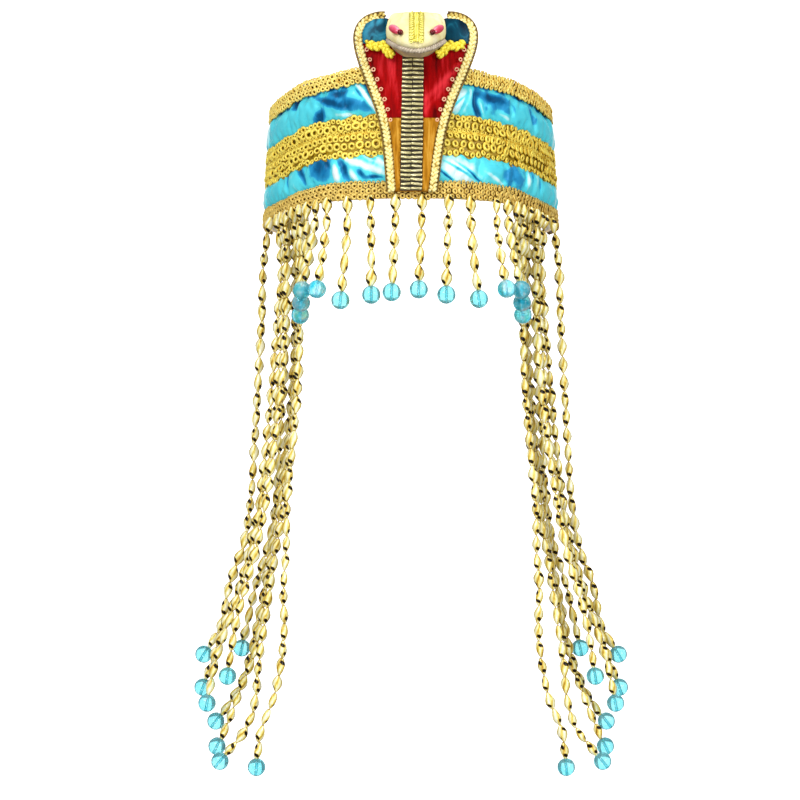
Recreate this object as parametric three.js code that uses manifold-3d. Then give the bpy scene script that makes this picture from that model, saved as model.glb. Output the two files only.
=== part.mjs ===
// Snake headband: a costume headpiece with a rearing cobra at the brow and a fringe of bead strings.
// Millimetres, +Z up, the face looks along -Y and the wearer's right side is at -X.
// The origin is the middle of the head opening, level with the band's lower edge.
import * as THREE from "three";
import { mergeVertices } from "three/addons/utils/BufferGeometryUtils.js";
import Module from "manifold-3d";

const wasm = await Module();
wasm.setup();

// Driving dimensions
const GAP = 0.3; // clearance that pieces keep to each other
const HEAD = { halfWidth: 80.5, halfDepth: 100 }; // head opening at the band's lower edge
const BAND = { wall: 3, lean: 4, halfArc: 170, columns: 51 }; // lean is how far the top edge tips in
const DROOP = { depth: 6, from: 45, to: 110 }; // the band hangs lower beside the head, by arc from the brow
const NARROWING = { depth: 2.4, from: 20, to: 55 }; // and its top edge dips away from the hood
const PUFF = 1.5; // how far the cloth swells out between two braids
const BRAID = { thick: 1.7, bevel: 1, columns: 32 };
const STRAP = { wide: 25, thick: 1.5, low: 33, lap: 12, columns: 18 };
const HOOD = { back: 2.4, thick: 3, bend: 110, sway: 0.024 }; // back is counted from the band's face
const PANEL_ROWS = 12;
const EDGING = { radius: 2.2, sides: 6, steps: 20 };
const APPLIQUE = { thick: 1 };
const SCALLOP = { radius: 1.8, sides: 6, steps: 10 };
const BELLY = { halfWidth: 5.6, low: 1.2, high: 73.3, pitch: 2.4, base: 0.7, rib: 1.2 };
const MOUTH = { radius: 1.7, sides: 6, steps: 14, corner: 86.8, dip: 9.1, open: 0.18, lift: 0.6 };
const HEAD_BRAID = { halfWidth: 3.6, lift: 0.5, thick: 1.4, low: 82.5 };
const EYE = { long: 2.7, wide: 1.6, deep: 1.3, x: 9.5, z: 88.6, lift: 0.9 };
const EYE_TURN = { slant: 0.6, cheek: 0.55, brow: 0.5 }; // radians: in its plane, round the cheek, up the brow
const BEAD_FACES = { around: 10, down: 4 }; // of the round beads at the eyes
const PUPIL = { radius: 1.5, x: 6, z: 86, lift: 0.6 };
const STRING_OUT = 0.6; // brow strings leave the band's lower edge this far out from its face
const BEAD = { pitch: 10.8, neck: 0.75, belly: 2.5, sides: 4, twist: Math.PI / 5 };
const BALL = { radius: 4.9, around: 10, down: 4, sink: 0.7 };

// The braids, from the lower edge of the band to its upper edge
const BRAIDS = [
  { name: "braid_bottom", low: 0, high: 9 },
  { name: "braid_middle_lower", low: 24.6, high: 34.1 },
  { name: "braid_middle_upper", low: 34.5, high: 44 },
  { name: "braid_top", low: 62, high: 70 },
];
const BAND_HEIGHT = BRAIDS.at(-1).high;

// Outer profile of the cloth wall; swell is the share of the puff and of the folds at that height
const CLOTH_ROWS = [
  { z: 0, swell: 0 },
  { z: BRAIDS[0].high, swell: 0 },
  { z: 12.8, swell: 0.8 },
  { z: 16.8, swell: 1 },
  { z: 20.8, swell: 0.8 },
  { z: BRAIDS[1].low, swell: 0 },
  { z: BRAIDS[2].high, swell: 0 },
  { z: 48.4, swell: 0.75 },
  { z: 53, swell: 1 },
  { z: 57.6, swell: 0.75 },
  { z: BRAIDS[3].low, swell: 0 },
  { z: BAND_HEIGHT, swell: 0 },
];

// Main folds of the cloth on each half of the band: where each crosses the middle of its strip,
// how far it drifts round the band for each millimetre of height, its width and its depth
const FOLDS = [
  { arc: 27, z: 16.8, drift: -1.6, width: 5, depth: 0.7 },
  { arc: 40, z: 16.8, drift: -1.2, width: 6, depth: -0.8 },
  { arc: 56, z: 16.8, drift: -0.6, width: 6, depth: 0.6 },
  { arc: 72, z: 16.8, drift: -0.3, width: 5, depth: -0.7 },
  { arc: 89, z: 16.8, drift: 0.2, width: 6, depth: 0.6 },
  { arc: 108, z: 16.8, drift: 0.1, width: 6, depth: -0.6 },
  { arc: 131, z: 16.8, drift: -0.2, width: 7, depth: 0.5 },
  { arc: 30, z: 53, drift: -0.9, width: 5, depth: -0.9 },
  { arc: 44, z: 53, drift: 1.1, width: 6, depth: 0.7 },
  { arc: 62, z: 53, drift: 1.3, width: 7, depth: -0.7 },
  { arc: 84, z: 53, drift: 0.6, width: 7, depth: 0.5 },
  { arc: 112, z: 53, drift: -0.4, width: 8, depth: -0.5 },
];

// Outer outline of the hood with its edging, from its foot to the top beside the snake's head
const HOOD_OUTLINE = [
  { z: 0.8, half: 12.4 },
  { z: 14, half: 13.6 },
  { z: 25, half: 14.9 },
  { z: 35, half: 16.4 },
  { z: 45, half: 19 },
  { z: 56, half: 23 },
  { z: 65, half: 26.6 },
  { z: 74, half: 29.8 },
  { z: 81, half: 31.6 },
  { z: 87, half: 31.9 },
  { z: 92, half: 30.2 },
  { z: 95.6, half: 26.4 },
  { z: 97.4, half: 21 },
  { z: 97.6, half: 16.5 },
];

// Outlines on the right half of the hood, sideways and by height: blue lobe beside the head, amber
// satin beside the belly, and the piping that hangs in a scallop under the lobe
const LOBE_CORNERS = [
  { x: 25.6, z: 82.4 },
  { x: 25.8, z: 87 },
  { x: 24, z: 90.4 },
  { x: 20.4, z: 92.2 },
  { x: 16.2, z: 92.4 },
  { x: 16.2, z: 82.2 },
  { x: 19.8, z: 82.6 },
];
const THROAT_CORNERS = [
  { x: 6.2, z: 41.5 },
  { x: 6.2, z: 3 },
  { x: 7.6, z: 3 },
  { x: 9.4, z: 22 },
  { x: 11, z: 34 },
  { x: 13, z: 41.5 },
];
const SCALLOP_LINE = [
  { x: 25.4, z: 80.2 },
  { x: 22, z: 79.2 },
  { x: 17.6, z: 79.6 },
  { x: 14.4, z: 76.4 },
  { x: 11.4, z: 73.6 },
];

// Sections of the snake's head from chin to crown: height where each meets the hood, half width,
// and reach forward of the hood
const HEAD_SECTIONS = [
  { z: 73.6, half: 6, reach: 16 },
  { z: 75, half: 9, reach: 22 },
  { z: 77, half: 11.5, reach: 25.5 },
  { z: 79.5, half: 13.6, reach: 27.6 },
  { z: 82.5, half: 15, reach: 28 },
  { z: 86, half: 15.5, reach: 26 },
  { z: 89.2, half: 15.3, reach: 22.2 },
  { z: 92.5, half: 15, reach: 16.5 },
  { z: 95.3, half: 14, reach: 10 },
  { z: 97, half: 12.2, reach: 4.5 },
];
const HEAD_STOOP = 0.24; // how far the head sinks for each millimetre forward
const HEAD_POINTS = 13; // along the front of each section

// Short strings at the brow, one row for each: place along the band, and how far its ball hangs
// aside, forwards and down from there
const BROW_STRINGS = [
  { arc: -68, aside: -0.9, forward: -2.5, drop: 59.2 },
  { arc: -62, aside: -3.9, forward: 0.8, drop: 53 },
  { arc: -55, aside: -8, forward: 4, drop: 46.8 },
  { arc: -47, aside: -5.9, forward: 5.8, drop: 46.7 },
  { arc: -34.2, aside: -4.4, forward: 0, drop: 52.6 },
  { arc: -21.4, aside: 0, forward: 0, drop: 50 },
  { arc: -8.3, aside: -2.2, forward: 0, drop: 48.8 },
  { arc: 5.1, aside: -1.6, forward: 0, drop: 47.4 },
  { arc: 18.9, aside: -0.8, forward: 0, drop: 50 },
  { arc: 31, aside: 5, forward: 0, drop: 52 },
  { arc: 47, aside: 5.9, forward: 5.8, drop: 46.5 },
  { arc: 55, aside: 8, forward: 4, drop: 46.6 },
  { arc: 62, aside: 3.9, forward: 0.8, drop: 52.8 },
  { arc: 68, aside: 0.9, forward: -2.5, drop: 59 },
];

// Long strands beside the face, one row for each pair: place along the band, distance out from its
// face, depth at which it hangs, its distance from the middle at each of the levels that it passes,
// then how far its ball is from the middle and below the origin
const STRAND_LEVELS = [30, 60, 95, 130, 160, 185, 210, 230, 250, 270, 285];
const TEMPLE_STRANDS = [
  {
    arc: 93.5,
    out: -4.4,
    depth: -31,
    aside: [69.5, 70, 71.5, 74, 76, 80, 87.5, 92],
    end: 95.2,
    drop: 244.6,
  },
  {
    arc: 73.8,
    out: 1.6,
    depth: -58.5,
    aside: [61.5, 61, 62, 65, 68, 68.5, 70, 69.5, 71.5, 76, 82],
    end: 84.7,
    drop: 305.8,
  },
  {
    arc: 86.5,
    out: -4.4,
    depth: -38,
    aside: [65, 65, 66.5, 70, 74.5, 77.5, 82, 86, 90.5, 98.5],
    end: 109.1,
    drop: 284.4,
  },
  {
    arc: 73,
    out: -4.4,
    depth: -51.5,
    aside: [59.5, 61.5, 63.5, 66, 69.5, 74, 78, 81, 84, 86, 90.5],
    end: 105.4,
    drop: 304,
  },
  {
    arc: 85.6,
    out: 1.6,
    depth: -52,
    aside: [69.5, 71, 73.5, 76.5, 82.5, 87, 94.5, 101.5, 108],
    end: 112.5,
    drop: 271.9,
  },
  {
    arc: 79.5,
    out: -4.4,
    depth: -44.5,
    aside: [62, 63.5, 65, 68.5, 72, 75.5, 80.5, 83.5, 88.5, 96.5, 102],
    end: 107.8,
    drop: 297.1,
  },
  {
    arc: 91.4,
    out: 1.6,
    depth: -45,
    aside: [72, 74, 77, 80.5, 84, 89, 96, 103.5, 110.5],
    end: 115.5,
    drop: 264.3,
  },
  {
    arc: 79.8,
    out: 1.6,
    depth: -58.5,
    aside: [68.5, 68.5, 71, 75, 79.5, 84.5, 91.5, 96.5],
    end: 100.6,
    drop: 256,
  },
  {
    arc: 101,
    out: 1.6,
    depth: -38,
    aside: [82.5, 83.5, 85.5, 87.5, 89.5, 93.5, 102, 106],
    end: 115.8,
    drop: 247,
  },
];

const FINISH = {
  cloth: { color: 0x2fc4ea, roughness: 0.3, metalness: 0.6 },
  braid: { color: 0xd8b23c, roughness: 0.4, metalness: 0.8 },
  elastic: { color: 0xe9e4d6, roughness: 0.9, metalness: 0 },
  red: { color: 0xc4101c, roughness: 0.5, metalness: 0.1 },
  amber: { color: 0xc07a1e, roughness: 0.5, metalness: 0.3 },
  blue: { color: 0x0f4f8c, roughness: 0.35, metalness: 0.5 },
  yellow: { color: 0xf0cf2e, roughness: 0.4, metalness: 0.5 },
  bugle: { color: 0xc9bf86, roughness: 0.25, metalness: 0.8 },
  lame: { color: 0xf2e6a0, roughness: 0.35, metalness: 0.6 },
  silver: { color: 0xa79c8c, roughness: 0.4, metalness: 0.7 },
  eye: { color: 0xd8485a, roughness: 0.1, metalness: 0 },
  pupil: { color: 0x5a0a0c, roughness: 0.1, metalness: 0 },
  goldBead: { color: 0xdcbc4a, roughness: 0.15, metalness: 1 },
};

const group = new THREE.Group();
group.name = "snake_headband";

function addPiece(name, geometry, finish) {
  const mesh = new THREE.Mesh(geometry, new THREE.MeshStandardMaterial(FINISH[finish]));
  mesh.name = name;
  group.add(mesh);
}

function times(count, make) {
  return Array.from({ length: count }, (_, i) => make(i));
}

// Evenly spaced numbers from first to last, both included
function spaced(first, last, count) {
  return times(count, (i) => first + ((last - first) * i) / (count - 1));
}

// A closed solid from points and triangles, turned so that its faces point out
function solidFrom(points, triangles) {
  const volume = triangles.reduce(
    (sum, [a, b, c]) => sum + points[a].dot(new THREE.Vector3().crossVectors(points[b], points[c])),
    0,
  );
  const facing = volume < 0 ? triangles.map(([a, b, c]) => [a, c, b]) : triangles;
  const geometry = new THREE.BufferGeometry().setFromPoints(points);
  geometry.setIndex(facing.flat());
  geometry.computeVertexNormals();
  return geometry;
}

// Triangles that close a flat ring of points
function capTriangles(ring) {
  const normal = new THREE.Vector3();
  ring.forEach((p, i) => normal.add(new THREE.Vector3().crossVectors(p, ring[(i + 1) % ring.length])));
  normal.normalize();
  const across = new THREE.Vector3().subVectors(ring[1], ring[0]).normalize();
  const up = new THREE.Vector3().crossVectors(normal, across);
  const flat = ring.map((p) => new THREE.Vector2(p.dot(across), p.dot(up)));
  return THREE.ShapeUtils.triangulateShape(flat, []);
}

// A closed solid through sections that have the same number of points
function loft(sections) {
  const size = sections[0].length;
  const triangles = [];
  for (let row = 0; row + 1 < sections.length; row++) {
    for (let i = 0; i < size; i++) {
      const a = row * size + i;
      const b = row * size + ((i + 1) % size);
      triangles.push([a, b, b + size], [a, b + size, a + size]);
    }
  }
  const last = (sections.length - 1) * size;
  capTriangles(sections[0]).forEach(([a, b, c]) => triangles.push([a, c, b]));
  capTriangles(sections.at(-1)).forEach(([a, b, c]) => triangles.push([last + a, last + b, last + c]));
  return solidFrom(sections.flat(), triangles);
}

// A round cord along a curve
function cord(curve, radius, sides, steps) {
  const outline = times(sides, (i) => {
    const angle = (2 * Math.PI * i) / sides;
    return new THREE.Vector2(radius * Math.cos(angle), radius * Math.sin(angle));
  });
  return new THREE.ExtrudeGeometry(new THREE.Shape(outline), { steps, extrudePath: curve });
}

function toSolid(geometry) {
  const bare = new THREE.BufferGeometry().setAttribute("position", geometry.getAttribute("position"));
  if (geometry.index) bare.setIndex(geometry.index);
  const merged = mergeVertices(bare);
  return new wasm.Manifold(
    new wasm.Mesh({
      numProp: 3,
      vertProperties: merged.getAttribute("position").array,
      triVerts: new Uint32Array(merged.index.array),
    }),
  );
}

function joined(first, second) {
  const mesh = toSolid(first).add(toSolid(second)).getMesh();
  const geometry = new THREE.BufferGeometry();
  geometry.setAttribute("position", new THREE.BufferAttribute(mesh.vertProperties, mesh.numProp));
  geometry.setIndex(new THREE.BufferAttribute(mesh.triVerts, 1));
  geometry.computeVertexNormals();
  return geometry;
}

// The band's outer line at its lower edge, an ellipse walked by arc length from the brow
const RING = { halfWidth: HEAD.halfWidth + BAND.wall, halfDepth: HEAD.halfDepth + BAND.wall };
const BROW_ANGLE = -Math.PI / 2;
const RING_CURVE = new THREE.EllipseCurve(
  0,
  0,
  RING.halfWidth,
  RING.halfDepth,
  BROW_ANGLE,
  BROW_ANGLE + 2 * Math.PI,
);
RING_CURVE.arcLengthDivisions = 1440;
const RING_LENGTH = RING_CURVE.getLength();

// A point on the band: arc round it from the brow, height, and distance out from its outer face
function onBand(arc, z, out) {
  const share = (arc / RING_LENGTH + 1) % 1;
  const at = RING_CURVE.getPointAt(share);
  const normal = new THREE.Vector2(at.x / RING.halfWidth ** 2, at.y / RING.halfDepth ** 2).normalize();
  at.addScaledVector(normal, out - (BAND.lean * z) / BAND_HEIGHT);
  const away = Math.min(Math.abs(arc), RING_LENGTH - Math.abs(arc));
  const droop = DROOP.depth * THREE.MathUtils.smoothstep(away, DROOP.from, DROOP.to);
  const dip = NARROWING.depth * THREE.MathUtils.smoothstep(away, NARROWING.from, NARROWING.to);
  return new THREE.Vector3(at.x, at.y, z - droop - (dip * z) / BAND_HEIGHT);
}

// How far the folds push the cloth out of its even puff
function foldHeight(arc, z) {
  return FOLDS.reduce((sum, fold) => {
    const middle = fold.arc + fold.drift * (z - fold.z);
    const near = Math.abs(z - fold.z) < 12;
    const away = (Math.abs(arc) - middle) / fold.width;
    return near ? sum + fold.depth * Math.exp(-away * away) : sum;
  }, 0);
}

function bandCloth() {
  const sections = spaced(-BAND.halfArc, BAND.halfArc, BAND.columns).map((arc) => {
    const outer = CLOTH_ROWS.map(({ z, swell }) => onBand(arc, z, swell * (PUFF + foldHeight(arc, z))));
    return [onBand(arc, BAND_HEIGHT, -BAND.wall), onBand(arc, 0, -BAND.wall), ...outer];
  });
  return loft(sections);
}

// A ribbon of bevelled section laid round the band
function braidRibbon({ low, high }) {
  const inner = GAP;
  const outer = GAP + BRAID.thick;
  const sections = spaced(-BAND.halfArc, BAND.halfArc, BRAID.columns).map((arc) => [
    onBand(arc, low, inner),
    onBand(arc, low + BRAID.bevel, outer),
    onBand(arc, high - BRAID.bevel, outer),
    onBand(arc, high, inner),
  ]);
  return loft(sections);
}

// Elastic that closes the loop behind the head, lapped inside both ends of the band
function backStrap() {
  const outer = -BAND.wall - GAP;
  const inner = outer - STRAP.thick;
  const start = BAND.halfArc - STRAP.lap;
  const high = STRAP.low + STRAP.wide;
  const sections = spaced(start, RING_LENGTH - start, STRAP.columns).map((arc) => [
    onBand(arc, STRAP.low, outer),
    onBand(arc, high, outer),
    onBand(arc, high, inner),
    onBand(arc, STRAP.low, inner),
  ]);
  return loft(sections);
}

// A point of the hood: sideways, height, and distance out from the band's face at the brow
function onHood(x, z, out) {
  const face = RING.halfDepth - (BAND.lean * z) / BAND_HEIGHT;
  return new THREE.Vector3(x + HOOD.sway * z, (x * x) / (2 * HOOD.bend) - face - out, z);
}

// The right half of the hood's outline, moved in by an inset
function hoodEdge(inset, count) {
  const outline = new THREE.SplineCurve(HOOD_OUTLINE.map(({ half, z }) => new THREE.Vector2(half, z)));
  return spaced(0, 1, count).map((share) => {
    const at = outline.getPointAt(share);
    const along = outline.getTangentAt(share);
    return new THREE.Vector2(at.x - along.y * inset, at.y + along.x * inset);
  });
}

const HOOD_FRONT = HOOD.back + HOOD.thick;
const PANEL_INSET = 2 * EDGING.radius + GAP / 2;

function hoodPanel() {
  const columns = [-1, -0.5, 0, 0.5, 1];
  const sections = hoodEdge(PANEL_INSET, PANEL_ROWS).map(({ x, y: z }) => {
    const back = columns.map((share) => onHood(share * x, z, HOOD.back));
    const front = columns.map((share) => onHood(share * x, z, HOOD_FRONT));
    return [...back, ...front.reverse()];
  });
  return loft(sections);
}

function hoodEdging(side) {
  const line = hoodEdge(EDGING.radius, EDGING.steps + 1);
  const points = line.map(({ x, y: z }) => onHood(side * x, z, HOOD.back + EDGING.radius));
  return cord(new THREE.CatmullRomCurve3(points), EDGING.radius, EDGING.sides, EDGING.steps);
}

// A thin patch laid on the hood, from the corners of its outline
function hoodPatch(side, corners) {
  const back = corners.map(({ x, z }) => onHood(side * x, z, HOOD_FRONT + GAP));
  const front = corners.map(({ x, z }) => onHood(side * x, z, HOOD_FRONT + GAP + APPLIQUE.thick));
  return loft([back, front]);
}

function hoodScallop(side) {
  const out = HOOD_FRONT + GAP + SCALLOP.radius;
  const points = SCALLOP_LINE.map(({ x, z }) => onHood(side * x, z, out));
  return cord(new THREE.CatmullRomCurve3(points), SCALLOP.radius, SCALLOP.sides, SCALLOP.steps);
}

// Strip of bugle beads down the snake's belly, one rib for each row of beads
function bellyStrip() {
  const back = HOOD_FRONT + GAP;
  const valley = back + BELLY.base;
  const ribs = Math.floor((BELLY.high - BELLY.low) / BELLY.pitch);
  const profile = [{ z: BELLY.low, out: valley }];
  for (let rib = 0; rib < ribs; rib++) {
    const start = BELLY.low + rib * BELLY.pitch;
    profile.push({ z: start + BELLY.pitch / 2, out: valley + BELLY.rib });
    profile.push({ z: start + BELLY.pitch, out: valley });
  }
  const high = profile.at(-1).z;
  const loop = [...profile, { z: high, out: back }, { z: BELLY.low, out: back }];
  const columns = [-BELLY.halfWidth, 0, BELLY.halfWidth];
  return loft(columns.map((x) => loop.map(({ z, out }) => onHood(x, z, out))));
}

const HEAD_BACK = HOOD_FRONT + GAP;
const headHalf = new THREE.SplineCurve(HEAD_SECTIONS.map(({ z, half }) => new THREE.Vector2(z, half)));
const headReach = new THREE.SplineCurve(HEAD_SECTIONS.map(({ z, reach }) => new THREE.Vector2(z, reach)));

// The value of one of those two curves at a height, by halving the stretch that holds it
function atHeight(curve, z) {
  let low = 0;
  let high = 1;
  for (let i = 0; i < 24; i++) {
    const middle = (low + high) / 2;
    if (curve.getPoint(middle).x < z) low = middle;
    else high = middle;
  }
  return curve.getPoint(low).y;
}

// A point on the front of the snake's head: turn is 0 at its left cheek, 0.5 at the snout, 1 at the right
function onHead(turn, z, out) {
  const half = atHeight(headHalf, z) + out;
  const reach = atHeight(headReach, z) + out;
  const angle = Math.PI * turn;
  const forward = reach * Math.sin(angle);
  const at = onHood(0, z, HEAD_BACK + forward);
  return at.setX(at.x - half * Math.cos(angle)).setZ(z - HEAD_STOOP * forward);
}

function snakeHead() {
  const sections = HEAD_SECTIONS.map(({ z }) => {
    const front = spaced(0, 1, HEAD_POINTS).map((turn) => onHead(turn, z, 0));
    const middle = onHood(0, z, HEAD_BACK);
    [front[0], front.at(-1)].forEach((cheek) => cheek.setY(onHood(cheek.x - middle.x, z, HEAD_BACK).y));
    return [...front, middle];
  });
  return loft(sections);
}

// Cord along the lips, lowest at the snout
function mouthCord() {
  const points = spaced(MOUTH.open, 1 - MOUTH.open, MOUTH.steps + 1).map((turn) => {
    const z = MOUTH.corner - MOUTH.dip * Math.sin(Math.PI * turn);
    return onHead(turn, z, MOUTH.radius + MOUTH.lift);
  });
  return cord(new THREE.CatmullRomCurve3(points), MOUTH.radius, MOUTH.sides, MOUTH.steps);
}

// Narrow braid down the middle of the forehead
function headBraid() {
  const rows = HEAD_SECTIONS.filter(({ z }) => z >= HEAD_BRAID.low);
  const sections = rows.map(({ z }) => {
    const turns = [-1, 0, 1].map((share) => headTurn(share * HEAD_BRAID.halfWidth, z));
    const back = turns.map((turn) => onHead(turn, z, HEAD_BRAID.lift));
    const front = turns.map((turn) => onHead(turn, z, HEAD_BRAID.lift + HEAD_BRAID.thick));
    return [...back, ...front.reverse()];
  });
  return loft(sections);
}

// Turn that carries a point of the head at a given distance from its middle
function headTurn(x, z) {
  return Math.acos(-x / atHeight(headHalf, z)) / Math.PI;
}

function eyeBead(side) {
  const at = onHead(headTurn(side * EYE.x, EYE.z), EYE.z, EYE.deep + EYE.lift);
  const bead = new THREE.SphereGeometry(1, BEAD_FACES.around, BEAD_FACES.down);
  bead.scale(EYE.long, EYE.deep, EYE.wide);
  bead.rotateY(-side * EYE_TURN.slant).rotateZ(side * EYE_TURN.cheek).rotateX(-EYE_TURN.brow);
  return bead.translate(at.x, at.y, at.z);
}

function pupilBead(side) {
  const at = onHead(headTurn(side * PUPIL.x, PUPIL.z), PUPIL.z, PUPIL.radius + PUPIL.lift);
  const bead = new THREE.SphereGeometry(PUPIL.radius, BEAD_FACES.around, BEAD_FACES.down);
  return bead.translate(at.x, at.y, at.z);
}

// Twisted beads along a line, ending in a round drop; the first neck starts at the line's first point
function beadString(line) {
  const drop = line.getPointAt(1);
  const length = line.getLength() - BALL.radius + BALL.sink;
  const beads = Math.round(length / BEAD.pitch);
  const reference = new THREE.Vector3(0, 1, 0);
  const sections = times(2 * beads + 1, (i) => {
    const share = ((length / line.getLength()) * i) / (2 * beads);
    const at = line.getPointAt(share);
    const along = line.getTangentAt(share);
    const first = reference.clone().addScaledVector(along, -reference.dot(along)).normalize();
    const second = new THREE.Vector3().crossVectors(along, first);
    const radius = i % 2 ? BEAD.belly : BEAD.neck;
    return times(BEAD.sides, (side) => {
      const angle = i * BEAD.twist + (2 * Math.PI * side) / BEAD.sides;
      return at
        .clone()
        .addScaledVector(first, radius * Math.cos(angle))
        .addScaledVector(second, radius * Math.sin(angle));
    });
  });
  const ball = new THREE.SphereGeometry(BALL.radius, BALL.around, BALL.down).rotateX(Math.PI / 2);
  return joined(loft(sections), ball.translate(drop.x, drop.y, drop.z));
}

function browLine({ arc, aside, forward, drop }) {
  const top = onBand(arc, -GAP, STRING_OUT);
  const end = new THREE.Vector3(top.x + aside, top.y - forward, -drop);
  const middle = top.clone().lerp(end, 0.5);
  middle.x = top.x + (end.x - top.x) * 0.4;
  return new THREE.CatmullRomCurve3([top, middle, end]);
}

// A strand leaves the band in one of two rows and falls at a depth of its own, so that no two meet
function templeLine(side, { arc, out, depth, aside, end, drop }) {
  const free = aside.map((x, i) => new THREE.Vector3(side * x, depth, -STRAND_LEVELS[i]));
  const ball = new THREE.Vector3(side * end, depth, -drop);
  const points = [onBand(side * arc, -GAP, out), ...free, ball];
  return new THREE.CatmullRomCurve3(points, false, "centripetal");
}

addPiece("band_cloth", bandCloth(), "cloth");
BRAIDS.forEach((braid) => addPiece(braid.name, braidRibbon(braid), "braid"));
addPiece("back_strap", backStrap(), "elastic");
addPiece("hood_panel", hoodPanel(), "red");
addPiece("belly_strip", bellyStrip(), "bugle");
addPiece("snake_head", snakeHead(), "lame");
addPiece("mouth_cord", mouthCord(), "silver");
addPiece("head_braid", headBraid(), "braid");
BROW_STRINGS.forEach((row, i) => addPiece(`brow_string_${i + 1}`, beadString(browLine(row)), "goldBead"));
[
  { name: "right", side: 1 },
  { name: "left", side: -1 },
].forEach(({ name, side }) => {
  addPiece(`hood_edging_${name}`, hoodEdging(side), "braid");
  addPiece(`hood_lobe_${name}`, hoodPatch(side, LOBE_CORNERS), "blue");
  addPiece(`hood_throat_${name}`, hoodPatch(side, THROAT_CORNERS), "amber");
  addPiece(`hood_scallop_${name}`, hoodScallop(side), "yellow");
  addPiece(`eye_${name}`, eyeBead(side), "eye");
  addPiece(`pupil_${name}`, pupilBead(side), "pupil");
  TEMPLE_STRANDS.forEach((row, i) => {
    addPiece(`temple_strand_${name}_${i + 1}`, beadString(templeLine(side, row)), "goldBead");
  });
});

export default group;
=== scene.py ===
"""Looks of a snake headband: a foil cloth band, gold braids, a padded cobra and strings of twisted beads.

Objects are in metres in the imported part's frame: +Z up, the face looks along -Y, and the origin is the
middle of the head opening, level with the band's lower edge. Sizes in this file are in millimetres unless
they say so.
"""
import logging
import math
from dataclasses import asdict, dataclass
from enum import Enum
from functools import cached_property
from typing import Any, ClassVar, Iterable, Sequence

import bmesh
import bpy
import numpy as np
from mathutils import Matrix, Vector


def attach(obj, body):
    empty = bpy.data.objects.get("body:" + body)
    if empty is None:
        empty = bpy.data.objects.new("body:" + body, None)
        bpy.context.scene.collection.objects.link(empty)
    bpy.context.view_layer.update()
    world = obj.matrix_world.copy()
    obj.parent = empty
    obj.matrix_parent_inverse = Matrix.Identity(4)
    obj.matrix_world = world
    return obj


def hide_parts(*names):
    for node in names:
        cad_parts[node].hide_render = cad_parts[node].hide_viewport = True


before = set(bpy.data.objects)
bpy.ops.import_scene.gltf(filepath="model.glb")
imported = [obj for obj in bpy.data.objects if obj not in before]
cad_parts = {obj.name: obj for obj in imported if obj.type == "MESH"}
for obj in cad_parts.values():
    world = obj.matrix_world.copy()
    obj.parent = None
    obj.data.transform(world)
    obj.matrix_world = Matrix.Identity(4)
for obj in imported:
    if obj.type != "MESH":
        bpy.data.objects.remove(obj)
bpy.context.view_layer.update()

LOG = logging.getLogger("snake_headband")
MM = 0.001
BODY = "root"
UP = np.array([0.0, 0.0, 1.0])
FORWARD = np.array([0.0, -1.0, 0.0])
# The plain value of the painted light and shade that a finish reads at each point
PLAIN_SHADING = 0.5

Array = np.ndarray
Material = bpy.types.Material
NodeTree = bpy.types.NodeTree
Object = bpy.types.Object
Socket = bpy.types.NodeSocket
Faces = list[tuple[int, ...]]
Inputs = dict[str | int, Any]


class Side(Enum):
    """The two halves of the headband, as seen from the front."""

    RIGHT = 1
    LEFT = -1

    @property
    def label(self) -> str:
        """The side's name as the part's nodes use it."""
        return self.name.lower()


class CordStyle(Enum):
    """How the strands of a cord lie about its middle."""

    PLAIT = "plait"
    TWIST = "twist"


# Numbers and lines


def smoothstep(value: Array, low: float, high: float) -> Array:
    """A smooth rise from 0 at low to 1 at high."""
    share = np.clip((value - low) / (high - low), 0.0, 1.0)
    return share * share * (3.0 - 2.0 * share)


def unit(vectors: Array) -> Array:
    """The same vectors with length 1."""
    return vectors / np.maximum(np.linalg.norm(vectors, axis=-1, keepdims=True), 1e-12)


def together(*values: Any) -> Sequence[Array]:
    """Numbers and arrays as arrays of floats of one shape."""
    return np.broadcast_arrays(*(np.asarray(value, float) for value in values))


def circle(count: int) -> Array:
    """Angles at even steps once round."""
    return np.linspace(0, 2 * math.pi, count, endpoint=False)


def smooth_line(corners: Sequence[Sequence[float]], power: float = 0.5, steps: int = 24) -> Array:
    """A Catmull-Rom curve through points.

    Args:
        corners: the points, in order.
        power: how a stretch's length spaces its knots, 0.5 for a centripetal curve and 0 for an even one.
        steps: points on each stretch.

    Returns:
        The curve's points, one row each.
    """
    points = np.asarray(corners, float)
    points = np.vstack([2 * points[0] - points[1], points, 2 * points[-1] - points[-2]])
    knots = np.linalg.norm(np.diff(points, axis=0), axis=1) ** power
    t = np.linspace(0, 1, steps, endpoint=False)[:, None]
    pieces = []
    for i in range(1, len(points) - 2):
        before, here, after, beyond = points[i - 1 : i + 3]
        a, b, c = knots[i - 1 : i + 2]
        leave = ((here - before) / a - (after - before) / (a + b) + (after - here) / b) * b
        arrive = ((after - here) / b - (beyond - here) / (b + c) + (beyond - after) / c) * b
        pieces.append(
            (2 * t**3 - 3 * t**2 + 1) * here
            + (t**3 - 2 * t**2 + t) * leave
            + (3 * t**2 - 2 * t**3) * after
            + (t**3 - t**2) * arrive
        )
    return np.vstack([*pieces, points[-2:-1]])


def distances(line: Array) -> Array:
    """How far each point of a line is along it."""
    return np.concatenate([[0.0], np.cumsum(np.linalg.norm(np.diff(line, axis=0), axis=1))])


def sampled(rows: Array, way: Array, at: Array) -> Array:
    """Rows that are given at distances along a way, at other distances."""
    return np.column_stack([np.interp(at, way, column) for column in rows.T])


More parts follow.
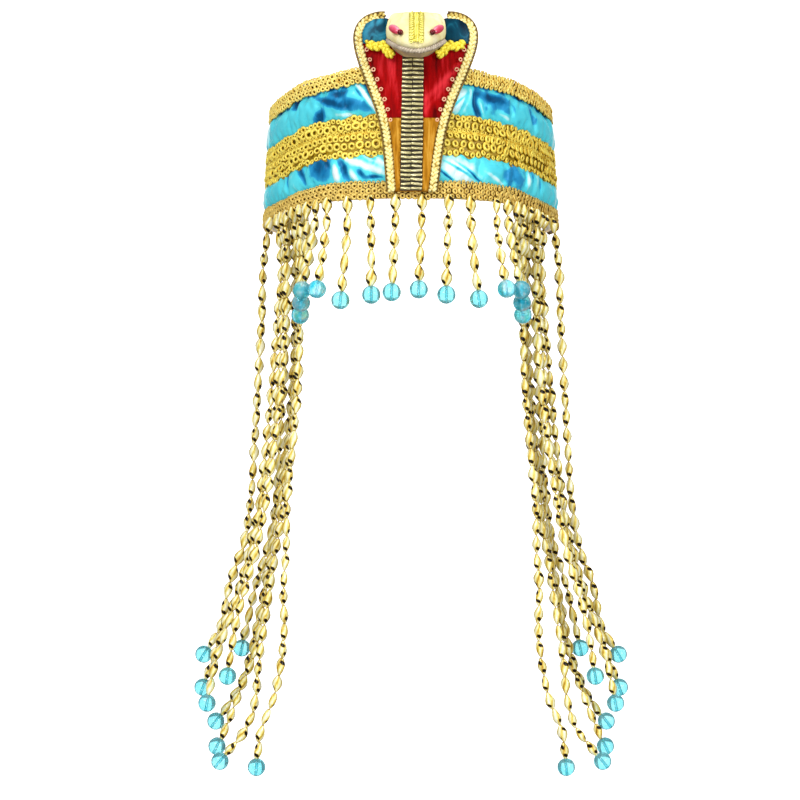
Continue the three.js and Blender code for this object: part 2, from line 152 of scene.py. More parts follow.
def evenly(line: Array, count: int, start: float = 0.0, end: float | None = None) -> Array:
    """Points at even steps along a line.

    Args:
        line: the line's points.
        count: how many points are wanted.
        start: where the first one is, from the line's start.
        end: where the last one is, or the line's end.

    Returns:
        The points, one row each.
    """
    way = distances(line)
    return sampled(line, way, np.linspace(start, way[-1] if end is None else end, count))


def tangents(line: Array) -> Array:
    """The direction of a line at each of its points."""
    return unit(np.gradient(line, axis=0))


def beside(line: Array, up: Array) -> Array:
    """The direction across a line on a surface, from the direction out of the surface."""
    return np.cross(tangents(line), up)


def everywhere(direction: Array, line: Array) -> Array:
    """One direction at each point of a line."""
    return np.broadcast_to(direction, line.shape)


# Meshes


@dataclass
class Shape:
    """Points in millimetres with the faces between them.

    A finish reads two numbers at each point: along, millimetres along a thread, and the painted light and
    shade there, mostly lighter where the place stands out and darker where it lies in, and the plain value
    where none is painted.
    """

    points: Array
    faces: Faces
    along: Array
    fold: Array | None = None

    @property
    def shade(self) -> Array:
        """The painted light and shade of each point."""
        return np.full(len(self.points), PLAIN_SHADING) if self.fold is None else self.fold

    @staticmethod
    def merged(shapes: Iterable["Shape"]) -> "Shape":
        """One shape that holds several.

        Args:
            shapes: the shapes to hold.

        Returns:
            The shape with all their points and faces.
        """
        found = list(shapes)
        faces: Faces = []
        first = 0
        for shape in found:
            faces += [tuple(first + i for i in face) for face in shape.faces]
            first += len(shape.points)
        points = np.vstack([shape.points for shape in found])
        along = np.concatenate([shape.along for shape in found])
        return Shape(points, faces, along, np.concatenate([shape.shade for shape in found]))

    def to_object(self, name: str, *materials: Material, smooth: bool = True) -> Object:
        """Makes the shape an object of the scene, with its faces turned outwards.

        Args:
            name: the object's name.
            materials: its materials, the first on every face.
            smooth: whether its faces are shaded as one surface.

        Returns:
            The object, at the origin.
        """
        mesh = bpy.data.meshes.new(name)
        mesh.from_pydata((self.points * MM).tolist(), [], self.faces)
        for label, values in (("along", self.along), ("fold", self.shade)):
            mesh.attributes.new(label, "FLOAT", "POINT").data.foreach_set("value", values.astype(np.float32))
        work = bmesh.new()
        work.from_mesh(mesh)
        bmesh.ops.recalc_face_normals(work, faces=work.faces)
        work.to_mesh(mesh)
        work.free()
        mesh.polygons.foreach_set("use_smooth", [smooth] * len(mesh.polygons))
        return dress(linked(bpy.data.objects.new(name, mesh)), *materials)


def linked(obj: Object) -> Object:
    """Puts an object in the scene."""
    bpy.context.scene.collection.objects.link(obj)
    return obj


def discard(obj: Object) -> None:
    """Deletes an object and its mesh.

    Args:
        obj: the object.
    """
    mesh = obj.data
    bpy.data.objects.remove(obj)
    bpy.data.meshes.remove(mesh)


def grid_faces(rows: int, columns: int) -> Faces:
    """Quads of a grid whose points run along its rows.

    Args:
        rows: rows of points.
        columns: columns of points.

    Returns:
        The quads.
    """
    return [
        (a, a + 1, a + columns + 1, a + columns)
        for row in range(rows - 1)
        for a in range(row * columns, row * columns + columns - 1)
    ]


def slab_faces(rows: int, columns: int) -> Faces:
    """Faces of a closed slab: a grid of points, a second one behind it, and the rim between them.

    Args:
        rows: rows of points.
        columns: columns of points.

    Returns:
        The faces of the front, of the back and round the edge.
    """
    count = rows * columns
    front = grid_faces(rows, columns)
    back = [tuple(i + count for i in reversed(face)) for face in front]
    around = list(range(columns))
    around += [row * columns + columns - 1 for row in range(1, rows)]
    around += [(rows - 1) * columns + i for i in range(columns - 2, -1, -1)]
    around += [row * columns for row in range(rows - 2, 0, -1)]
    ahead = around[1:] + around[:1]
    return front + back + [(b, a, a + count, b + count) for a, b in zip(around, ahead)]


def loft(sections: Array, close_ends: bool = True) -> Shape:
    """A closed solid through rings of points.

    Args:
        sections: rings, by section, by point, by coordinate.
        close_ends: whether the first and last ring get a face.

    Returns:
        The solid; along counts millimetres from its first ring.
    """
    count, size, _ = sections.shape
    faces: Faces = []
    for row in range(count - 1):
        for i in range(size):
            a = row * size + i
            b = row * size + (i + 1) % size
            faces.append((a, b, b + size, a + size))
    if close_ends:
        faces.append(tuple(range(size)))
        faces.append(tuple(range((count - 1) * size, count * size)))
    along = np.repeat(distances(sections.mean(axis=1)), size)
    return Shape(sections.reshape(-1, 3), faces, along)


def tube(line: Array, radius: float, sides: int, up: Array) -> Shape:
    """A round rod along a line.

    Args:
        line: the rod's middle.
        radius: its radius.
        sides: corners of its section.
        up: a direction at each point that the section starts from.

    Returns:
        The rod, closed at both ends.
    """
    ahead = tangents(line)
    first = unit(up - ahead * np.sum(up * ahead, axis=1, keepdims=True))
    second = np.cross(ahead, first)
    angles = circle(sides)[None, :, None]
    ring = first[:, None] * np.cos(angles) + second[:, None] * np.sin(angles)
    return loft(line[:, None] + ring * radius)


@dataclass(frozen=True)
class Cord:
    """A trimming cord of several strands.

    The strands of a plait cross each other in one plane, and those of a twist wind about the middle.
    """

    style: CordStyle
    strands: int
    strand_radius: float
    spread: float
    depth: float
    wave: float
    sides: int = 6
    step: float = 0.55
    contrast: float = 0.28

    def along(self, line: Array, across: Array, up: Array) -> Shape:
        """The cord laid along a line.

        Args:
            line: the cord's middle.
            across: the direction of its width at each point.
            up: the direction out of the surface at each point.

        Returns:
            The strands as one shape.
        """
        way = distances(line)
        at = np.linspace(0, way[-1], round(way[-1] / self.step))
        middle, wide, out = (sampled(rows, way, at) for rows in (line, across, up))
        shapes = []
        for strand in range(self.strands):
            phase = 2 * math.pi * (at / self.wave + strand / self.strands)
            if self.style is CordStyle.PLAIT:
                aside, lift = np.sin(phase), np.sin(2 * phase)
            else:
                aside, lift = np.cos(phase), np.sin(phase)
            path = middle + wide * (self.spread * aside)[:, None] + out * (self.depth * lift)[:, None]
            shape = tube(path, self.strand_radius, self.sides, out)
            # Painted light and shade: each strand lighter where it rises out and darker where it dips in
            shape.fold = np.repeat(PLAIN_SHADING + self.contrast * lift, self.sides)
            shapes.append(shape)
        return Shape.merged(shapes)


def baked(obj: Object) -> Object:
    """Turns what an object's modifiers show into its plain mesh.

    Args:
        obj: the object.

    Returns:
        The same object without modifiers.
    """
    depsgraph = bpy.context.evaluated_depsgraph_get()
    mesh = bpy.data.meshes.new_from_object(obj.evaluated_get(depsgraph), depsgraph=depsgraph)
    obj.modifiers.clear()
    old, obj.data = obj.data, mesh
    mesh.name = obj.name
    bpy.data.meshes.remove(old)
    return obj


def smoothed(obj: Object) -> Object:
    """Smooths an object by one level of subdivision.

    Args:
        obj: the object.

    Returns:
        The same object with the finer mesh.
    """
    modifier = obj.modifiers.new("smooth", "SUBSURF")
    modifier.levels = modifier.render_levels = 1
    return baked(obj)


def joined(name: str, objects: Sequence[Object]) -> Object:
    """Joins objects, materials and all, into the first.

    Args:
        name: the joined object's name.
        objects: the objects to join.

    Returns:
        The joined object.
    """
    first = objects[0]
    with bpy.context.temp_override(active_object=first, selected_editable_objects=list(objects)):
        bpy.ops.object.join()
    first.name = first.data.name = name
    return first


def dress(obj: Object, *materials: Material) -> Object:
    """Gives an object its materials, the first on every face that has no other.

    Args:
        obj: the object.
        materials: its materials.

    Returns:
        The same object.
    """
    for material in materials:
        obj.data.materials.append(material)
    return obj


def seat(obj: Object, slot: str, *nodes: str) -> Object:
    """Makes an object a piece of the part.

    Args:
        obj: the finished object.
        slot: the record's material slot that its finish stands for; not used.
        nodes: the part's nodes that it replaces.

    Returns:
        The same object.
    """
    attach(obj, BODY)
    if nodes:
        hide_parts(*nodes)
    LOG.info("%s: %d faces, for %s", obj.name, len(obj.data.polygons), ", ".join(nodes) or "no node")
    return obj


# Nodes


def add_node(
    tree: NodeTree, kind: str, inputs: Inputs | None = None, **settings: Any
) -> bpy.types.Node:
    """Adds a node to a tree.

    Args:
        tree: the tree.
        kind: the node's type name.
        inputs: for input names or numbers, a value or the output socket to link.
        settings: the node's options.

    Returns:
        The node.
    """
    node = tree.nodes.new(kind)
    for name, value in settings.items():
        setattr(node, name, value)
    for name, value in (inputs or {}).items():
        if isinstance(value, Socket):
            tree.links.new(value, node.inputs[name])
        else:
            node.inputs[name].default_value = value
    return node


def figure(tree: NodeTree, operation: str, *values: Any) -> Socket:
    """The result of a math node on numbers and sockets."""
    return add_node(tree, "ShaderNodeMath", dict(enumerate(values)), operation=operation).outputs[0]


@dataclass(frozen=True)
class Repeat:
    """How copies of a unit follow a line.

    Stretch scales each copy along the line, across it and outwards. Turn is added about the line from copy to
    copy, in radians, the two spreads are random turns about the line and about the outward direction, and
    size_spread is a random share of the size.
    """

    count: int
    stretch: tuple[float, float, float] = (1.0, 1.0, 1.0)
    turn: float = 0.0
    turn_spread: float = 0.0
    tilt_spread: float = 0.0
    size_spread: float = 0.0
    seed: int = 1


class RepeatTree:
    """Geometry Nodes tree that sets copies of a unit at even steps along a line.

    Apart from the line, the unit and the finish, its inputs are the fields of Repeat.
    """

    INPUTS = {
        "path": "NodeSocketGeometry",
        "unit": "NodeSocketObject",
        "count": "NodeSocketInt",
        "stretch": "NodeSocketVector",
        "turn": "NodeSocketFloat",
        "turn_spread": "NodeSocketFloat",
        "tilt_spread": "NodeSocketFloat",
        "size_spread": "NodeSocketFloat",
        "seed": "NodeSocketInt",
        "finish": "NodeSocketMaterial",
    }
    OUTWARD = "outward"

    def __init__(self) -> None:
        """Builds the tree."""
        self.tree = bpy.data.node_groups.new("repeat_along_path", "GeometryNodeTree")
        self.tree.is_modifier = True
        interface = self.tree.interface
        self.sockets = {
            name: interface.new_socket(name, in_out="INPUT", socket_type=kind).identifier
            for name, kind in self.INPUTS.items()
        }
        interface.new_socket("copies", in_out="OUTPUT", socket_type="NodeSocketGeometry")
        self.given = add_node(self.tree, "NodeGroupInput").outputs
        curve = self.node("GeometryNodeMeshToCurve", {"Mesh": self.given["path"]})
        steps = self.node("GeometryNodeResampleCurve", {"Curve": curve, "Count": self.given["count"]})
        sample = add_node(self.tree, "GeometryNodeObjectInfo", {"Object": self.given["unit"]})
        placed = {"Points": steps, "Instance": sample.outputs["Geometry"]}
        turned = {"Rotation": self.facing(), "Scale": self.size()}
        copies = self.node("GeometryNodeInstanceOnPoints", placed | turned)
        plain = self.node("GeometryNodeRealizeInstances", {"Geometry": copies})
        dressed = self.node("GeometryNodeSetMaterial", {"Geometry": plain, "Material": self.given["finish"]})
        add_node(self.tree, "NodeGroupOutput", {"copies": dressed})

    def node(self, kind: str, inputs: Inputs | None = None, **settings: Any) -> Socket:
        """Adds a node to the tree and gives its first output."""
        return add_node(self.tree, kind, inputs, **settings).outputs[0]

    def spread(self, name: str, salt: int) -> Socket:
        """A random number between minus and plus one input.

        Args:
            name: the input that says how far the number spreads.
            salt: added to the seed, so that two spreads differ.

        Returns:
            The socket with the number.
        """
        seed = figure(self.tree, "ADD", self.given["seed"], float(salt))
        low = figure(self.tree, "MULTIPLY", self.given[name], -1.0)
        ends = {2: low, 3: self.given[name], "Seed": seed}
        return add_node(self.tree, "FunctionNodeRandomValue", ends, data_type="FLOAT").outputs[1]

    def facing(self) -> Socket:
        """The rotation of a copy: along the line, facing outwards, then turned as the inputs say.

        Returns:
            The socket with the rotation.
        """
        named = {"Name": self.OUTWARD}
        outward = self.node("GeometryNodeInputNamedAttribute", named, data_type="FLOAT_VECTOR")
        axes = {"Primary Axis": self.node("GeometryNodeInputTangent"), "Secondary Axis": outward}
        aligned = self.node("FunctionNodeAxesToRotation", axes, primary_axis="X", secondary_axis="Z")
        step = figure(self.tree, "MULTIPLY", self.node("GeometryNodeInputIndex"), self.given["turn"])
        turn = figure(self.tree, "ADD", step, self.spread("turn_spread", 1))
        angles = self.node("ShaderNodeCombineXYZ", {"X": turn, "Z": self.spread("tilt_spread", 2)})
        added = self.node("FunctionNodeEulerToRotation", {"Euler": angles})
        turned = {"Rotation": aligned, "Rotate By": added}
        return self.node("FunctionNodeRotateRotation", turned, rotation_space="LOCAL")

    def size(self) -> Socket:
        """The scale of a copy.

        Returns:
            The socket with the scale.
        """
        share = figure(self.tree, "ADD", self.spread("size_spread", 3), 1.0)
        scaled = {"Vector": self.given["stretch"], "Scale": share}
        return self.node("ShaderNodeVectorMath", scaled, operation="SCALE")

    def along(
        self,
        name: str,
        line: Array,
        outward: Array,
        unit_shape: Shape,
        repeat: Repeat,
        finish: Material,
    ) -> Object:
        """Copies of a unit along a line, as a plain mesh.

        Args:
            name: the object's name.
            line: the line to follow.
            outward: the direction out of the surface at each point of the line.
            unit_shape: the unit, with its length along X and its outer side towards +Z.
            repeat: how the copies follow the line.
            finish: the copies' material.

        Returns:
            The object.
        """
        path = bpy.data.meshes.new(name)
        path.from_pydata((line * MM).tolist(), [(i, i + 1) for i in range(len(line) - 1)], [])
        facing = path.attributes.new(self.OUTWARD, "FLOAT_VECTOR", "POINT")
        facing.data.foreach_set("vector", outward.astype(np.float32).ravel())
        obj = linked(bpy.data.objects.new(name, path))
        sample = unit_shape.to_object(name + "_unit")
        modifier = obj.modifiers.new("repeat", "NODES")
        modifier.node_group = self.tree
        for label, value in (asdict(repeat) | {"unit": sample, "finish": finish}).items():
            modifier[self.sockets[label]] = value
        baked(obj)
        discard(sample)
        return obj


# Finishes


def linear(hex_colour: str) -> tuple[float, float, float, float]:
    """An sRGB hex colour as linear red, green, blue and alpha.

    Args:
        hex_colour: the colour, as a hash and six digits.

    Returns:
        The four numbers.
    """
    parts = [int(hex_colour[i : i + 2], 16) / 255 for i in (1, 3, 5)]
    red, green, blue = (p / 12.92 if p <= 0.04045 else ((p + 0.055) / 1.055) ** 2.4 for p in parts)
    return red, green, blue, 1.0


@dataclass(frozen=True)
class Finish:
    """A surface whose colour follows a point attribute of painted light and shade, and a grain of noise.

    Stops run from the colour of painted shade in hollows to that of painted light on crowns. Grain is the
    size of the noise along each axis, and share says how far it moves the colour. Wrap is the spacing of
    threads along the point attribute along, 0 for none, wrap_share their part of the relief, and depth the
    height of the relief.
    """

    name: str
    stops: tuple[tuple[float, str], ...]
    grain: tuple[float, float, float] = (4.0, 4.0, 4.0)
    share: float = 0.6
    detail: float = 3.0
    distortion: float = 0.0
    wrap: float = 0.0
    wrap_share: float = 0.25
    relief: float = 0.2
    depth: float = 0.2
    metallic: float = 0.0
    roughness: float = 0.5
    coat: float = 0.0
    specular: float = 0.5
    transmission: float = 0.0
    ior: float = 1.5
    glow: float = 0.0

    def material(self) -> Material:
        """Builds the material.

        Returns:
            The material, with one surface shader.
        """
        material = bpy.data.materials.new(self.name)
        material.use_nodes = True
        tree = material.node_tree
        tree.nodes.clear()
        coords = add_node(tree, "ShaderNodeTexCoord").outputs["Object"]
        scale = tuple(1 / (size * MM) for size in self.grain)
        placed = add_node(tree, "ShaderNodeMapping", {"Vector": coords, "Scale": scale}).outputs[0]
        waves = {"Vector": placed, "Scale": 1.0, "Detail": self.detail, "Distortion": self.distortion}
        noise = add_node(tree, "ShaderNodeTexNoise", waves).outputs[0]
        fold = add_node(tree, "ShaderNodeAttribute", attribute_name="fold").outputs["Fac"]
        tone = figure(tree, "MULTIPLY_ADD", figure(tree, "ADD", noise, -PLAIN_SHADING), self.share, fold)
        colour = add_node(tree, "ShaderNodeValToRGB", {"Fac": tone})
        elements = colour.color_ramp.elements
        while len(elements) < len(self.stops):
            elements.new(0.5)
        for element, (place, shade) in zip(elements, self.stops):
            element.position = place
            element.color = linear(shade)
        values = {
            "Base Color": colour.outputs["Color"],
            "Metallic": self.metallic,
            "Roughness": self.roughness,
            "Coat Weight": self.coat,
            "Specular IOR Level": self.specular,
            "Transmission Weight": self.transmission,
            "IOR": self.ior,
            "Emission Color": linear("#FFFFFF"),
            "Emission Strength": self.glow,
        }
        if self.relief:
            size = {"Strength": self.relief, "Distance": self.depth * MM}
            raised = {"Height": self.height(tree, noise)} | size
            values["Normal"] = add_node(tree, "ShaderNodeBump", raised).outputs[0]
        shader = add_node(tree, "ShaderNodeBsdfPrincipled", values)
        add_node(tree, "ShaderNodeOutputMaterial", {"Surface": shader.outputs[0]})
        return material

    def height(self, tree: NodeTree, noise: Socket) -> Socket:
        """The relief: the grain, and the wraps of the thread where there are any.

        Args:
            tree: the material's tree.
            noise: the grain.

        Returns:
            The socket with the height.
        """
        if not self.wrap:
            return noise
        along = add_node(tree, "ShaderNodeAttribute", attribute_name="along").outputs["Fac"]
        wraps = figure(tree, "SINE", figure(tree, "MULTIPLY", along, 2 * math.pi / self.wrap))
        return figure(tree, "MULTIPLY_ADD", wraps, self.wrap_share, noise)


@dataclass(frozen=True)
class FoilCloth(Finish):
    """Lame: cloth woven with coloured foil, with the sharp light and dark patches of its folds painted on."""

    grain: tuple[float, float, float] = (7.0, 7.0, 9.0)
    share: float = 0.36
    distortion: float = 1.0
    relief: float = 0.12
    metallic: float = 0.05
    roughness: float = 0.34
    specular: float = 0.1


@dataclass(frozen=True)
class Satin(Finish):
    """Satin weave: long floats along one direction; its sheen is painted as soft streaks down the cloth."""

    grain: tuple[float, float, float] = (1.6, 1.6, 14.0)
    share: float = 0.7
    detail: float = 4.0
    relief: float = 0.15
    roughness: float = 0.55
    specular: float = 0.04


@dataclass(frozen=True)
class MetalThread(Finish):
    """Metallised thread wound on a core: painted light on crowns and painted shade in hollows, fine wraps
    across.

    Real wraps are about 0.2 mm apart, too fine to show, so they are drawn coarser.
    """

    grain: tuple[float, float, float] = (3.0, 3.0, 3.0)
    share: float = 0.9
    wrap: float = 0.7
    relief: float = 0.3
    depth: float = 0.25
    metallic: float = 0.2
    roughness: float = 0.4
    specular: float = 0.4


@dataclass(frozen=True)
class PlatedPlastic(Finish):
    """Moulded plastic with a vacuum-plated skin, painted with reflections: bright facets, dark corners and
    ends.
    """

    grain: tuple[float, float, float] = (9.0, 9.0, 9.0)
    share: float = 0.7
    relief: float = 0.0
    metallic: float = 0.1
    roughness: float = 0.25
    specular: float = 0.25


@dataclass(frozen=True)
class ClearPlastic(Finish):
    """Moulded acrylic tinted through: light gathers in the middle, and the rim goes dark."""

    grain: tuple[float, float, float] = (5.0, 5.0, 5.0)
    relief: float = 0.0
    roughness: float = 0.03
    transmission: float = 0.78
    ior: float = 1.3


@dataclass(frozen=True)
class Gloss(Finish):
    """Moulded plastic or lined glass: a wet gloss over a slow drift of colour."""

    relief: float = 0.0
    roughness: float = 0.14
    coat: float = 0.7


@dataclass(frozen=True)
class KnittedElastic(Finish):
    """Knitted elastic: rubber cords under a matt yarn, which show as fine ribs along the tape."""

    wrap: float = 1.6
    relief: float = 0.5
    depth: float = 0.4
    roughness: float = 0.85


def shaded(kind: type[Finish], name: str, colours: str, **options: float) -> Material:
    """The material of a finish with three colours.

    Args:
        kind: the finish's class.
        name: the material's name.
        colours: hex colours of its hollows, its plain places and its crowns.
        options: fields that differ from the class.

    Returns:
        The material.
    """
    return kind(name, tuple(zip((0.2, 0.5, 0.8), colours.split())), **options).material()


class Wardrobe:
    """Every finish of the headband, made once."""

    # The foil's cyan, with navy as painted shade in valleys and near white as painted glints on ridges
    FOIL = (
        (0.0, "#06345E"),
        (0.16, "#085684"),
        (0.22, "#1170A6"),
        (0.36, "#2C9AD0"),
        (0.42, "#4CD2E6"),
        (0.62, "#60E2EE"),
        (0.69, "#A4EEF5"),
        (0.82, "#E8FCFF"),
    )
    # Lame stops: its cream and pale gold, with a grey-brown for the painted shade on the chin
    LAME = ((0.1, "#A8987C"), (0.3, "#E8D888"), (0.5, "#FAEFB2"), (0.8, "#FFFDE8"))
    # Gold plating as painted reflections: near black for the dim room mirrored in spots, olive for corners,
    # cream for facets
    PLATING = (
        (0.16, "#120A02"),
        (0.26, "#54440E"),
        (0.36, "#987420"),
        (0.46, "#CEA03A"),
        (0.58, "#E4CE5E"),
        (0.74, "#F8EC9E"),
        (0.9, "#FFFCDE"),
    )

    def __init__(self) -> None:
        """Builds the materials."""
        self.foil = FoilCloth("turquoise_lame_woven", self.FOIL).material()
        self.lining = shaded(Satin, "cream_lining_woven", "#CFC6B0 #E9E2D0 #F7F3E8", roughness=0.7)
        self.braid = shaded(MetalThread, "gold_gimp_braid_thread", "#745808 #D8AA18 #FCE664")
        self.edge_braid = shaded(MetalThread, "old_gold_gimp_braid_thread", "#6A4408 #DAA628 #FFE87E")
        # Partly the bottom braid's own paler gold and partly painted shade: darkened because that braid lies
        # in shade
        self.hem_braid = shaded(MetalThread, "dull_gold_gimp_braid_thread", "#583808 #BE922A #EACB6C")
        self.ground = shaded(MetalThread, "olive_braid_ground_woven", "#604A08 #A28410 #CCAA20")
        # Painted shade: a darker ground for the fine braids, showing as the shade in the holes between loops
        self.dark_ground = shaded(MetalThread, "brown_braid_ground_woven", "#2E1C04 #6A480C #9A781A")
        self.edging = shaded(MetalThread, "pale_gold_gimp_cord", "#5A3E10 #CEB04E #FFF0A6", share=1.5)
        # Painted shadow: the dark cord that stands for the shadow along the hood's edge
        self.backing = shaded(MetalThread, "bronze_backing_cord", "#5A400E #8A6A24 #B09242")
        self.picot = shaded(MetalThread, "rose_gold_picot_thread", "#8A3A1C #D08C64 #FAC4A0")
        self.piping = shaded(MetalThread, "yellow_gold_piping_thread", "#6E5A00 #E8C61C #FFF04C")
        self.head_braid = shaded(MetalThread, "lemon_gold_braid_thread", "#8E8210 #EBDC4A #FFF890")
        self.silver = shaded(MetalThread, "tarnished_silver_cord_thread", "#4A3A2C #94836F #CABCA6")
        self.red = shaded(Satin, "red_satin_woven", "#5A0103 #A60507 #EA343E")
        self.amber = shaded(Satin, "amber_satin_woven", "#7A4806 #B87C1A #EAB850", share=1.0)
        self.blue = shaded(FoilCloth, "peacock_blue_foil_pressed", "#011E30 #054258 #2E90AE", share=1.1)
        self.lame = Satin("pale_gold_lame_woven", self.LAME, grain=(6.0, 6.0, 9.0), share=0.5).material()
        self.bugle = shaded(Gloss, "gold_lined_glass_bugles", "#5A4C18 #DCD094 #FFF8D4", metallic=0.3)
        self.tape = shaded(Gloss, "black_bead_tape_woven", "#120C02 #2A2008 #443610", roughness=0.7)
        # Eye and pupil: their crown colours are painted highlights on the upper halves
        self.eye = shaded(Gloss, "rose_plastic_moulded", "#B81430 #E0506E #FF9CB0", coat=0.3)
        garnet = "#3A0208 #6A0814 #9A1426"
        self.pupil = shaded(Gloss, "garnet_plastic_moulded", garnet, coat=0.15, specular=0.25)
        self.beads = PlatedPlastic("gold_plated_plastic_moulded", self.PLATING).material()
        self.thread = shaded(Gloss, "gold_nylon_thread", "#8E6E20 #B8962E #D9BC62")
        self.balls = shaded(ClearPlastic, "turquoise_acrylic_moulded", "#4CCADA #90E6F0 #D2F8FA")
        # Painted light: a lighter, less clear copy of the turquoise acrylic for the balls at the ends of the
        # brow, which the strings behind them would darken
        milky = {"share": 1.6, "transmission": 0.62}
        brightened_colours = "#2ECAE6 #86EAFA #EAFDFF"
        self.milky_balls = shaded(ClearPlastic, "milky_turquoise_acrylic_moulded", brightened_colours, **milky)
        self.elastic = shaded(KnittedElastic, "cream_elastic_knitted", "#B8B09C #E4DDCB #F6F2E6")


# Surfaces that the pieces lie on


@dataclass(frozen=True)
class BandSurface:
    """The band's outer face: an ellipse walked by arc length from the brow, which droops beside the head."""

    half_width: float = 83.5
    half_depth: float = 103.0
    height: float = 70.0
    lean: float = 4.0
    droop: float = 6.0
    droop_from: float = 45.0
    droop_to: float = 110.0
    narrowing: float = 2.4
    narrowing_from: float = 20.0
    narrowing_to: float = 55.0
    steps: int = 4097

    @cached_property
    def walk(self) -> tuple[Array, Array]:
        """Angles round the ellipse and how far each is along it.

        Returns:
            The angles and the distances.
        """
        angles = np.linspace(-math.pi / 2, 1.5 * math.pi, self.steps)
        line = np.column_stack([self.half_width * np.cos(angles), self.half_depth * np.sin(angles)])
        return angles, distances(line)

    @property
    def length(self) -> float:
        """The way once round the ellipse."""
        return float(self.walk[1][-1])

    def ring(self, arc: Array) -> tuple[Array, Array]:
        """The ellipse's points and outward directions, flat, at distances from the brow.

        Args:
            arc: the distances.

        Returns:
            The points and the directions.
        """
        angles, way = self.walk
        angle = np.interp(np.mod(arc, self.length), way, angles)
        points = np.stack([self.half_width * np.cos(angle), self.half_depth * np.sin(angle)], axis=-1)
        return points, unit(points / np.array([self.half_width, self.half_depth]) ** 2)

    def at(self, arc: Any, z: Any, out: Any) -> Array:
        """Points of the band.

        Args:
            arc: distances round the band from the brow, positive towards +X.
            z: heights on the band.
            out: distances out from its face.

        Returns:
            The points.
        """
        arc, z, out = together(arc, z, out)
        points, normals = self.ring(arc)
        flat = points + normals * (out - self.lean * z / self.height)[..., None]
        away = np.minimum(np.abs(arc), self.length - np.abs(arc))
        droop = self.droop * smoothstep(away, self.droop_from, self.droop_to)
        dip = self.narrowing * smoothstep(away, self.narrowing_from, self.narrowing_to)
        return np.concatenate([flat, (z - droop - dip * z / self.height)[..., None]], axis=-1)

    def outward(self, arc: Any) -> Array:
        """The band's outward directions."""
        normals = self.ring(np.asarray(arc, float))[1]
        return np.concatenate([normals, np.zeros(normals.shape[:-1] + (1,))], axis=-1)


@dataclass(frozen=True)
class HoodSurface:
    """The cobra's hood: a shallow trough that stands on the band at the brow."""

    band: BandSurface
    back: float = 2.4
    thick: float = 3.0
    bend: float = 110.0
    sway: float = 0.024
    gap: float = 0.3
    belly_shift: float = -0.5
    belly_lean: float = -0.009
    outline: tuple[tuple[float, float], ...] = (
        (12.4, 0.8),
        (13.6, 14.0),
        (14.9, 25.0),
        (16.4, 35.0),
        (19.0, 45.0),
        (23.0, 56.0),
        (26.6, 65.0),
        (29.8, 74.0),
        (31.6, 81.0),
        (31.9, 87.0),
        (30.2, 92.0),
        (26.4, 95.6),
        (21.0, 97.4),
        (16.5, 97.6),
    )

    @property
    def front(self) -> float:
        """How far the panel's front is from the band's face."""
        return self.back + self.thick

    @property
    def laid(self) -> float:
        """How far from the band's face a piece lies on the panel."""
        return self.front + self.gap

    def at(self, x: Any, z: Any, out: Any) -> Array:
        """Points of the hood.

        Args:
            x: distances sideways.
            z: heights.
            out: distances out from the band's face.

        Returns:
            The points.
        """
        x, z, out = together(x, z, out)
        face = self.band.half_depth - self.band.lean * z / self.band.height
        return np.stack([x + self.sway * z, x * x / (2 * self.bend) - face - out, z], axis=-1)

    def outward(self, x: Any) -> Array:
        """The hood's outward directions at distances sideways."""
        x = np.asarray(x, float)
        return unit(np.stack([x / self.bend, -np.ones_like(x), np.zeros_like(x)], axis=-1))

    def belly_middle(self, z: Array) -> Array:
        """How far sideways the middle of the belly strip is at heights."""
        return self.belly_shift + self.belly_lean * z

    def edge(self, inset: float, count: int) -> Array:
        """The right half of the outline, moved in.

        Args:
            inset: how far in.
            count: points along it.

        Returns:
            Distances sideways and heights, from the foot to the top.
        """
        line = evenly(smooth_line(self.outline, power=0.0), count)
        ahead = tangents(line)
        return line + np.column_stack([-ahead[:, 1], ahead[:, 0]]) * inset


@dataclass(frozen=True)
class HeadSurface:
    """The front of the snake's head, by turn: 0 at its left cheek, 0.5 at the snout, 1 at its right cheek."""

    hood: HoodSurface
    stoop: float = 0.24
    probe: float = 0.5
    sections: tuple[tuple[float, float, float], ...] = (
        (73.6, 6.0, 16.0),
        (75.0, 9.0, 22.0),
        (77.0, 11.5, 25.5),
        (79.5, 13.6, 27.6),
        (82.5, 15.0, 28.0),
        (86.0, 15.5, 26.0),
        (89.2, 15.3, 22.2),
        (92.5, 15.0, 16.5),
        (95.3, 14.0, 10.0),
        (97.0, 12.2, 4.5),
    )

    @cached_property
    def curve(self) -> Array:
        """Height, half width and reach, closely spaced."""
        return smooth_line(self.sections, power=0.0)

    @property
    def back(self) -> float:
        """How far the back of the head is from the band's face."""
        return self.hood.laid

    def half(self, z: Any) -> Array:
        """Half the head's width at heights."""
        return np.interp(z, self.curve[:, 0], self.curve[:, 1])

    def turn(self, x: float, z: Any) -> Array:
        """The turn that carries a point at a distance from the middle."""
        return np.arccos(np.clip(-x / self.half(z), -1, 1)) / math.pi

    def at(self, turn: Any, z: Any, out: Any) -> Array:
        """Points of the head.

        Args:
            turn: turns round the head.
            z: heights where a section meets the hood.
            out: distances out.

        Returns:
            The points.
        """
        turn, z, out = together(turn, z, out)
        half = self.half(z) + out
        reach = np.interp(z, self.curve[:, 0], self.curve[:, 2]) + out
        forward = reach * np.sin(math.pi * turn)
        points = self.hood.at(np.zeros_like(z), z, self.back + forward)
        points[..., 0] -= half * np.cos(math.pi * turn)
        points[..., 2] -= self.stoop * forward
        return points

    def outward(self, turn: Any, z: Any) -> Array:
        """The head's outward directions, from points a little further out."""
        return unit(self.at(turn, z, self.probe) - self.at(turn, z, 0.0))


# Cloth that is swollen and creased by simulation


